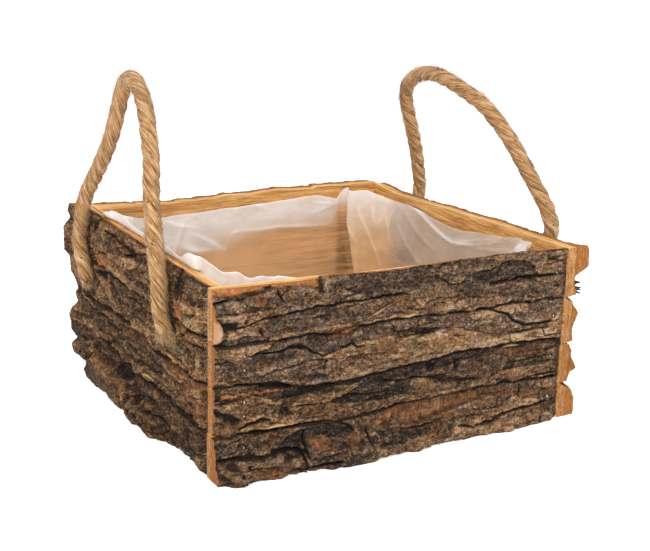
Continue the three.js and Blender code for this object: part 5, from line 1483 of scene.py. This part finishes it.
def make_film():
    ring, top, label, at, total = film_outline()
    ring, top = cyc(ring, 8), cyc(top, 2)
    tan = np.roll(ring, -1, 0) - np.roll(ring, 1, 0)
    tan /= np.linalg.norm(tan, axis=1)[:, None]
    inward = np.stack([tan[:, 1], -tan[:, 0]], 1)     # the outline runs clockwise
    NV, NB = FILM_V, FILM_B
    R = total / TAU
    rim = lambda k, sd: noise(R * np.cos(at / R) / k + 2.2, R * np.sin(at / R) / k, sd)
    top = top + 0.45 * rim(15, 71) + 0.25 * rim(6, 72) + 0.12 * rim(2.5, 73)
    v = np.linspace(0, 1, NV) ** 1.12                  # 0 at the top edge, 1 at the floor
    S = np.repeat(at[:, None], NV, 1)
    Zt = top[:, None] + (FLOOR_Z - top)[:, None] * v[None, :]
    below = top[:, None] - Zt
    # periodic coordinates round the liner
    cx, cy = R * np.cos(S / R), R * np.sin(S / R)
    per = lambda k, zk, sd: noise(cx / k + 5.5, cy / k + Zt / zk, sd)
    # a smooth film with broad slack waves
    loose = np.clip(0.45 + 0.7 * per(70, 60, 86), 0.1, 1)
    off = 0.3 + loose * (1.9 * (0.5 + 0.5 * per(75, 90, 81)) + 1.2 * (0.5 + 0.5 * per(36, 50, 82)))
    off = off + smooth(55, 0, below) * (0.7 + 1.3 * (0.5 + 0.5 * per(58, 300, 85)))
    # the gathered corner at the back right, whose edge laps over the back wall's film
    lap = S - np.interp(Zt, [20, 53.6, 75.2, 90.5, 109.3, 121], [416, 412, 409.6, 406.5, 406.6, 407])
    bunch = np.exp(-np.clip(lap - 10, 0, 99) ** 2 / 26 ** 2) * smooth(-0.9, 0.9, lap)
    off = off + bunch * smooth(112, 20, below) * (6.2 + 1.8 * np.sin(lap / 6.5 + below / 40))
    # the film folded down along the right wall
    flap_z = np.interp(S, [455, 474, 492.3, 508.8, 524.8, 536, 555.9, 563.6, 600], [117, 113.5, 108.8, 103.2, 98.5, 96.6, 98.9, 100.2, 112])
    under = smooth(0.8, -0.8, Zt - flap_z) * smooth(452, 470, S) * smooth(600, 566, S)
    off = off + 1.7 * under * smooth(-45, -2, Zt - flap_z)
    # gathers at the other corners
    for name, amp in (("bl", 1.6), ("fr", 2.2), ("fl", 2.2)):
        mid = at[label == name].mean()
        d = (S - mid + total / 2) % total - total / 2
        fan = np.exp(-(d / 24) ** 2) * smooth(90, 6, below)
        off = off + fan * (1.5 + amp * np.sin(d / (2.6 + 0.035 * below) + 1.7 * per(40, 60, 87)))
    creases = list(CREASES)
    rng = np.random.default_rng(31)
    for _ in range(46):
        s0, z0 = rng.uniform(0, total), rng.uniform(14, 100)
        if 262 < s0 < 640 and z0 > 48:
            continue
        ln, tilt = rng.uniform(14, 46), rng.normal(0, 0.9)
        k = rng.normal(0, 3.0)
        creases.append(([(s0, z0), (s0 + 0.5 * ln * math.cos(tilt) + k, z0 + 0.5 * ln * math.sin(tilt)), (s0 + ln * math.cos(tilt), z0 + ln * math.sin(tilt))],
                        rng.uniform(0.7, 1.7), rng.uniform(0.04, 0.09), rng.uniform(0.9, 1.8)))
    line = np.zeros_like(S)
    for pts, stand, milk_and_highlight, wide in creases:
        d, along = line_distance(S, Zt, pts)
        taper = np.sin(np.pi * np.clip(along, 0.06, 0.94)) ** 0.5
        off = off + stand * taper * np.exp(-d / 2.6)
        # crease ridges made milkier and less tinted: a painted highlight, with some real milkiness
        line = np.maximum(line, milk_and_highlight * taper * np.exp(-(d / wide) ** 2))
    hem = smooth(5, 0, below)
    off = np.maximum(off - 0.4 * hem, 0.2)
    along_left = smooth(-14, 4, (S + total / 2) % total - total / 2) * smooth(184, 172, S)
    off = off * (1 - 0.9 * along_left * smooth(111, 117, Zt))
    P = np.zeros((PERIM, NV, 3))
    P[..., :2] = ring[:, None, :] + inward[:, None, :] * off[..., None]
    P[..., 2] = Zt
    # where it stands above the rim it leans out a little
    lean = np.clip(Zt - 119.0, 0, 9)
    over = ((3.4 + 0.7 * per(24, 300, 95)) * smooth(117.7, 118.9, Zt) + 0.08 * lean) * along_left + (0.25 * lean + 0.010 * lean ** 2) * (1 - along_left)
    over = over + 3.4 * np.exp(-((S - 160) / 13) ** 2) * smooth(118.2, 119.6, Zt)
    P[..., :2] -= inward[:, None, :] * over[..., None]
    # and at the back left it drapes over the post's top
    d = (S - (at[label == "bl"].mean() - 9) + total / 2) % total - total / 2
    P[..., :2] -= inward[:, None, :] * (7.0 * np.exp(-(d / 15) ** 2) * smooth(109.5, 120, Zt))[..., None]
    # as it does at the front right
    d = S - (at[label == "fr"].min() + 24.5)
    P[..., :2] -= inward[:, None, :] * (11.0 * np.exp(-(d / 15) ** 2) * smooth(109.2, 116.0, Zt))[..., None]
    # the floor, gathered in towards the middle
    q = np.linspace(0, 1, NB + 1)[1:]
    base = P[:, -1, :2]
    fl = np.zeros((PERIM, NB, 3))
    shrink = (1 - q) ** 1.0
    fl[..., :2] = base[:, None, :] * np.maximum(shrink, 0.015)[None, :, None]
    fx, fy = fl[..., 0], fl[..., 1]
    w1, w2, _, _, _ = worley(fx / 46, fy / 46, 91)
    rise = 2.6 * np.clip(0.8 - w1, 0, 1) + 1.6 * np.clip(0.5 + noise(fx / 30, fy / 30, 92), 0, 1.2)
    for _ in range(26):
        p0, a_ = rng.uniform(-105, 105, 2), rng.uniform(0, TAU)
        ln = rng.uniform(18, 70)
        d, along = line_distance(fx, fy, [p0, p0 + 0.5 * ln * np.array([math.cos(a_), math.sin(a_)]) + rng.normal(0, 4, 2), p0 + ln * np.array([math.cos(a_ + 0.2), math.sin(a_ + 0.2)])])
        rise = rise + rng.uniform(0.8, 2.4) * np.sin(np.pi * np.clip(along, 0.05, 0.95)) ** 0.6 * np.exp(-d / 2.4)
    rad = np.hypot(fx, fy)
    edge_lift = 2.5 * np.exp(-q / 0.05)[None, :] * (0.4 + 0.6 * np.abs(per(9, 300, 93)[:, :1]))
    fl[..., 2] = FLOOR_Z + rise * smooth(0.0, 0.2, q)[None, :] * smooth(2, 14, rad) + edge_lift
    P[:, -1, 2] = fl[:, 0, 2] + 0.8
    grid = np.concatenate([P, fl], 1)
    NR = NV + NB
    centre = np.array([[0, 0, FLOOR_Z + 0.3]])
    # thickness along the surface normal
    gs = np.roll(grid, -1, 0) - np.roll(grid, 1, 0)
    gv = np.gradient(grid, axis=1)
    nrm = np.cross(gv, gs)
    nrm /= np.linalg.norm(nrm, axis=2)[..., None] + 1e-9
    thick = 0.22
    inner_side = grid + nrm * thick
    probe = inner_side[:, NV // 2, :2] - grid[:, NV // 2, :2]
    if np.sum(probe * inward) < 0:
        inner_side = grid - nrm * thick
    inner_side[:, -1] = grid[:, -1] + np.array([0, 0, thick])
    n0 = PERIM * NR
    verts = np.vstack([grid.reshape(-1, 3), inner_side.reshape(-1, 3), centre, centre + [0, 0, thick]])
    i = np.arange(PERIM)
    vi = np.arange(n0).reshape(PERIM, NR)
    nxt = (i + 1) % PERIM
    quads = [np.stack([vi[:, :-1], vi[nxt, :-1], vi[nxt, 1:], vi[:, 1:]], -1).reshape(-1, 4)]
    quads.append(quads[0][:, ::-1] + n0)
    quads.append(np.stack([vi[nxt, 0], vi[i, 0], vi[i, 0] + n0, vi[nxt, 0] + n0], -1))
    tris = np.vstack([np.stack([vi[i, -1], vi[nxt, -1], np.full(PERIM, 2 * n0)], -1),
                      np.stack([vi[nxt, -1] + n0, vi[i, -1] + n0, np.full(PERIM, 2 * n0 + 1)], -1)])
    # the film's milkiness: high along the tops, in the gathered corner and on the folded lobe, low where it lies on the wood
    high = np.interp(S, [0, 172, 205, 228, 262, 300, 330, 370, 392, 397, 406], [0.92, 0.92, 0.86, 0.86, 0.84, 0.80, 0.70, 0.60, 0.56, 0.60, 0.60])
    low = np.interp(S, [0, 172, 205, 240, 262, 285, 300, 393, 398, 406], [0.30, 0.30, 0.34, 0.33, 0.32, 0.32, 0.31, 0.24, 0.08, 0.05])
    limit = np.interp(S, [0, 172, 200, 235, 262, 283, 320, 351, 390, 398, 407], [100, 100, 92, 82, 85, 89, 93, 95, 95, 107, 110])
    part = smooth(np.interp(S, [250, 300, 340], [-28, -25, -17]), np.interp(S, [250, 300, 340], [17, 17, 12]), Zt - limit)
    haze_w = low + (high - low) * part
    lobe = smooth(7.0, -5.0, patch_distance(S, Zt, [(264.5, 89.8), (278, 84), (292, 74.7), (262.7, 75.7), (254.3, 82.2)]))
    tint_w = 0.03 + 0.97 * (1 - smooth(0.05, 0.80, part))
    haze_w = np.maximum(haze_w, 0.5 * lobe)
    tint_w = tint_w * (1 - 0.8 * lobe)
    # a painted shadow under the hem: clearer film just below the top edge on the back wall lets the darker wood show
    haze_w = haze_w - 0.16 * np.exp(-((below - 2.5) / 2.6) ** 2) * smooth(230, 250, S) * smooth(392, 380, S)
    corner_h = np.interp(Zt, [30, 55, 80, 98, 110, 120], [0.36, 0.42, 0.50, 0.62, 0.72, 0.78])
    wc = smooth(-0.8, 0.8, lap) * smooth(460, 436, S)
    haze_w = haze_w * (1 - wc) + corner_h * wc
    tint_w = tint_w * (1 - wc) + np.interp(Zt, [40, 62, 84, 104, 114], [1.0, 1.0, 0.85, 0.32, 0.06]) * wc
    side_h = np.where(Zt < flap_z, 0.17, 0.20) * smooth(40, 92, Zt) + 0.035
    clear = 0.25 * smooth(116, 92, Zt)
    side_h = side_h + 0.36 * smooth(82, 108, Zt) * smooth(505, 462, S)
    side_h = side_h + np.interp(S, [446, 470, 535, 575, 612, 625, 640, 660], [0.06, 0.03, 0.0, 0.06, 0.12, 0.28, 0.36, 0.2]) * smooth(84, 106, Zt)
    ws = smooth(436, 460, S) * smooth(690, 660, S)
    haze_w = haze_w * (1 - ws) + (side_h + clear) * ws
    tint_w = tint_w * (1 - ws) + ws * (0.12 + 0.75 * clear / np.maximum(side_h + clear, 0.05))
    haze_w = haze_w - 0.10 * np.exp(-((S - 459) / 14) ** 2 - ((Zt - 67) / 11) ** 2)
    wf = smooth(660, 690, S)
    haze_w = haze_w * (1 - wf) + wf * (0.30 + 0.45 * smooth(106, 115, Zt))
    tint_w = tint_w * (1 - wf) + wf * 0.9 * smooth(112, 100, Zt)
    haze_w = haze_w + line + 0.16 * np.exp(-(below / 1.1) ** 2)
    # where the film bends, for the painted highlight along its folds
    fold_w = smooth(0.35, 0.9, np.abs(off - blur(off, 4, 4))) * 0.6
    shade_w = np.broadcast_to(ws * (0.40 + 0.30 * smooth(116, 96, Zt)) + 0.35 * smooth(178, 168, S), haze_w.shape)
    shade = np.concatenate([shade_w, np.zeros((PERIM, NB))], 1)
    haze = np.concatenate([haze_w, np.full((PERIM, NB), 0.30) + 0.025 * rise], 1)
    tint = np.concatenate([np.clip(tint_w - 2.5 * line, 0, 1), np.clip(0.85 - 0.10 * rise, 0, 1)], 1)
    fold = np.concatenate([fold_w, smooth(0.3, 0.9, np.abs(rise - blur(rise, 4, 2)))], 1)
    flat = lambda a_: np.concatenate([a_.ravel(), a_.ravel(), [0.12, 0.12]])
    obj = build("film_liner", verts, [np.vstack(quads), tris], [FILM], attrs={"haze": flat(haze), "fold": flat(fold), "tint": flat(tint), "shade": flat(shade), "loc": verts})
    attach(obj, "basket")
    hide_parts("liner")
    mesh_area = sum(p.area for p in obj.data.polygons) / 2
    print("film area m2", round(mesh_area, 4))
    return obj


film = make_film()

# ---------------------------------------------------------------- stage and light
rings, around = [(10, 0.0), (13, 0.1), (16, 0.35), (20, 1.0), (25, 2.3), (30, 4.0)], 64     # flat, rising gently far away
turn = [(math.cos(TAU * i / around), math.sin(TAU * i / around)) for i in range(around)]
stage = bpy.data.meshes.new("floor")
stage.from_pydata([(r * c, r * s, z) for r, z in rings for c, s in turn], [],
                  [tuple(range(around))] + [(k * around + i, (k + 1) * around + i, (k + 1) * around + (i + 1) % around, k * around + (i + 1) % around)
                                            for k in range(len(rings) - 1) for i in range(around)])
stage.polygons.foreach_set("use_smooth", [True] * len(stage.polygons))
floor = bpy.data.objects.new("floor", stage)
scene.collection.objects.link(floor)
floor.location.z = -0.0002
fl = Nodes("floor_white")
fl.set(color=(0.86, 0.86, 0.86, 1), rough=0.9, spec=0.1)
fl.bsdf.inputs["Emission Color"].default_value = (1, 1, 1, 1)
fl.bsdf.inputs["Emission Strength"].default_value = 0.56
stage.materials.append(fl.mat)

world = bpy.data.worlds.new("studio")
scene.world = world
world.use_nodes = True
world.node_tree.nodes["Background"].inputs[0].default_value = (1, 1, 1, 1)
world.node_tree.nodes["Background"].inputs[1].default_value = 0.55


def area_light(name, at, aim, size, power, colour=(1, 1, 1)):
    data = bpy.data.lights.new(name, "AREA")
    data.shape = "RECTANGLE"
    data.size, data.size_y = size
    data.energy = power
    data.color = colour
    obj = bpy.data.objects.new(name, data)
    scene.collection.objects.link(obj)
    z = np.array(at, float) - np.array(aim, float)
    z /= np.linalg.norm(z)
    x = np.cross([0, 0, 1.0], z)
    x /= np.linalg.norm(x)
    y = np.cross(z, x)
    obj.matrix_world = Matrix(((x[0], y[0], z[0], at[0]), (x[1], y[1], z[1], at[1]), (x[2], y[2], z[2], at[2]), (0, 0, 0, 1)))


area_light("key", (-0.95, -1.05, 1.25), (0, 0, 0.07), (0.7, 0.7), 22, (1.0, 0.98, 0.95))
area_light("fill", (1.1, -1.2, 0.8), (0, 0, 0.08), (1.0, 1.0), 7)
area_light("top", (0.2, 0.5, 1.6), (0, 0, 0.1), (1.0, 1.0), 9)
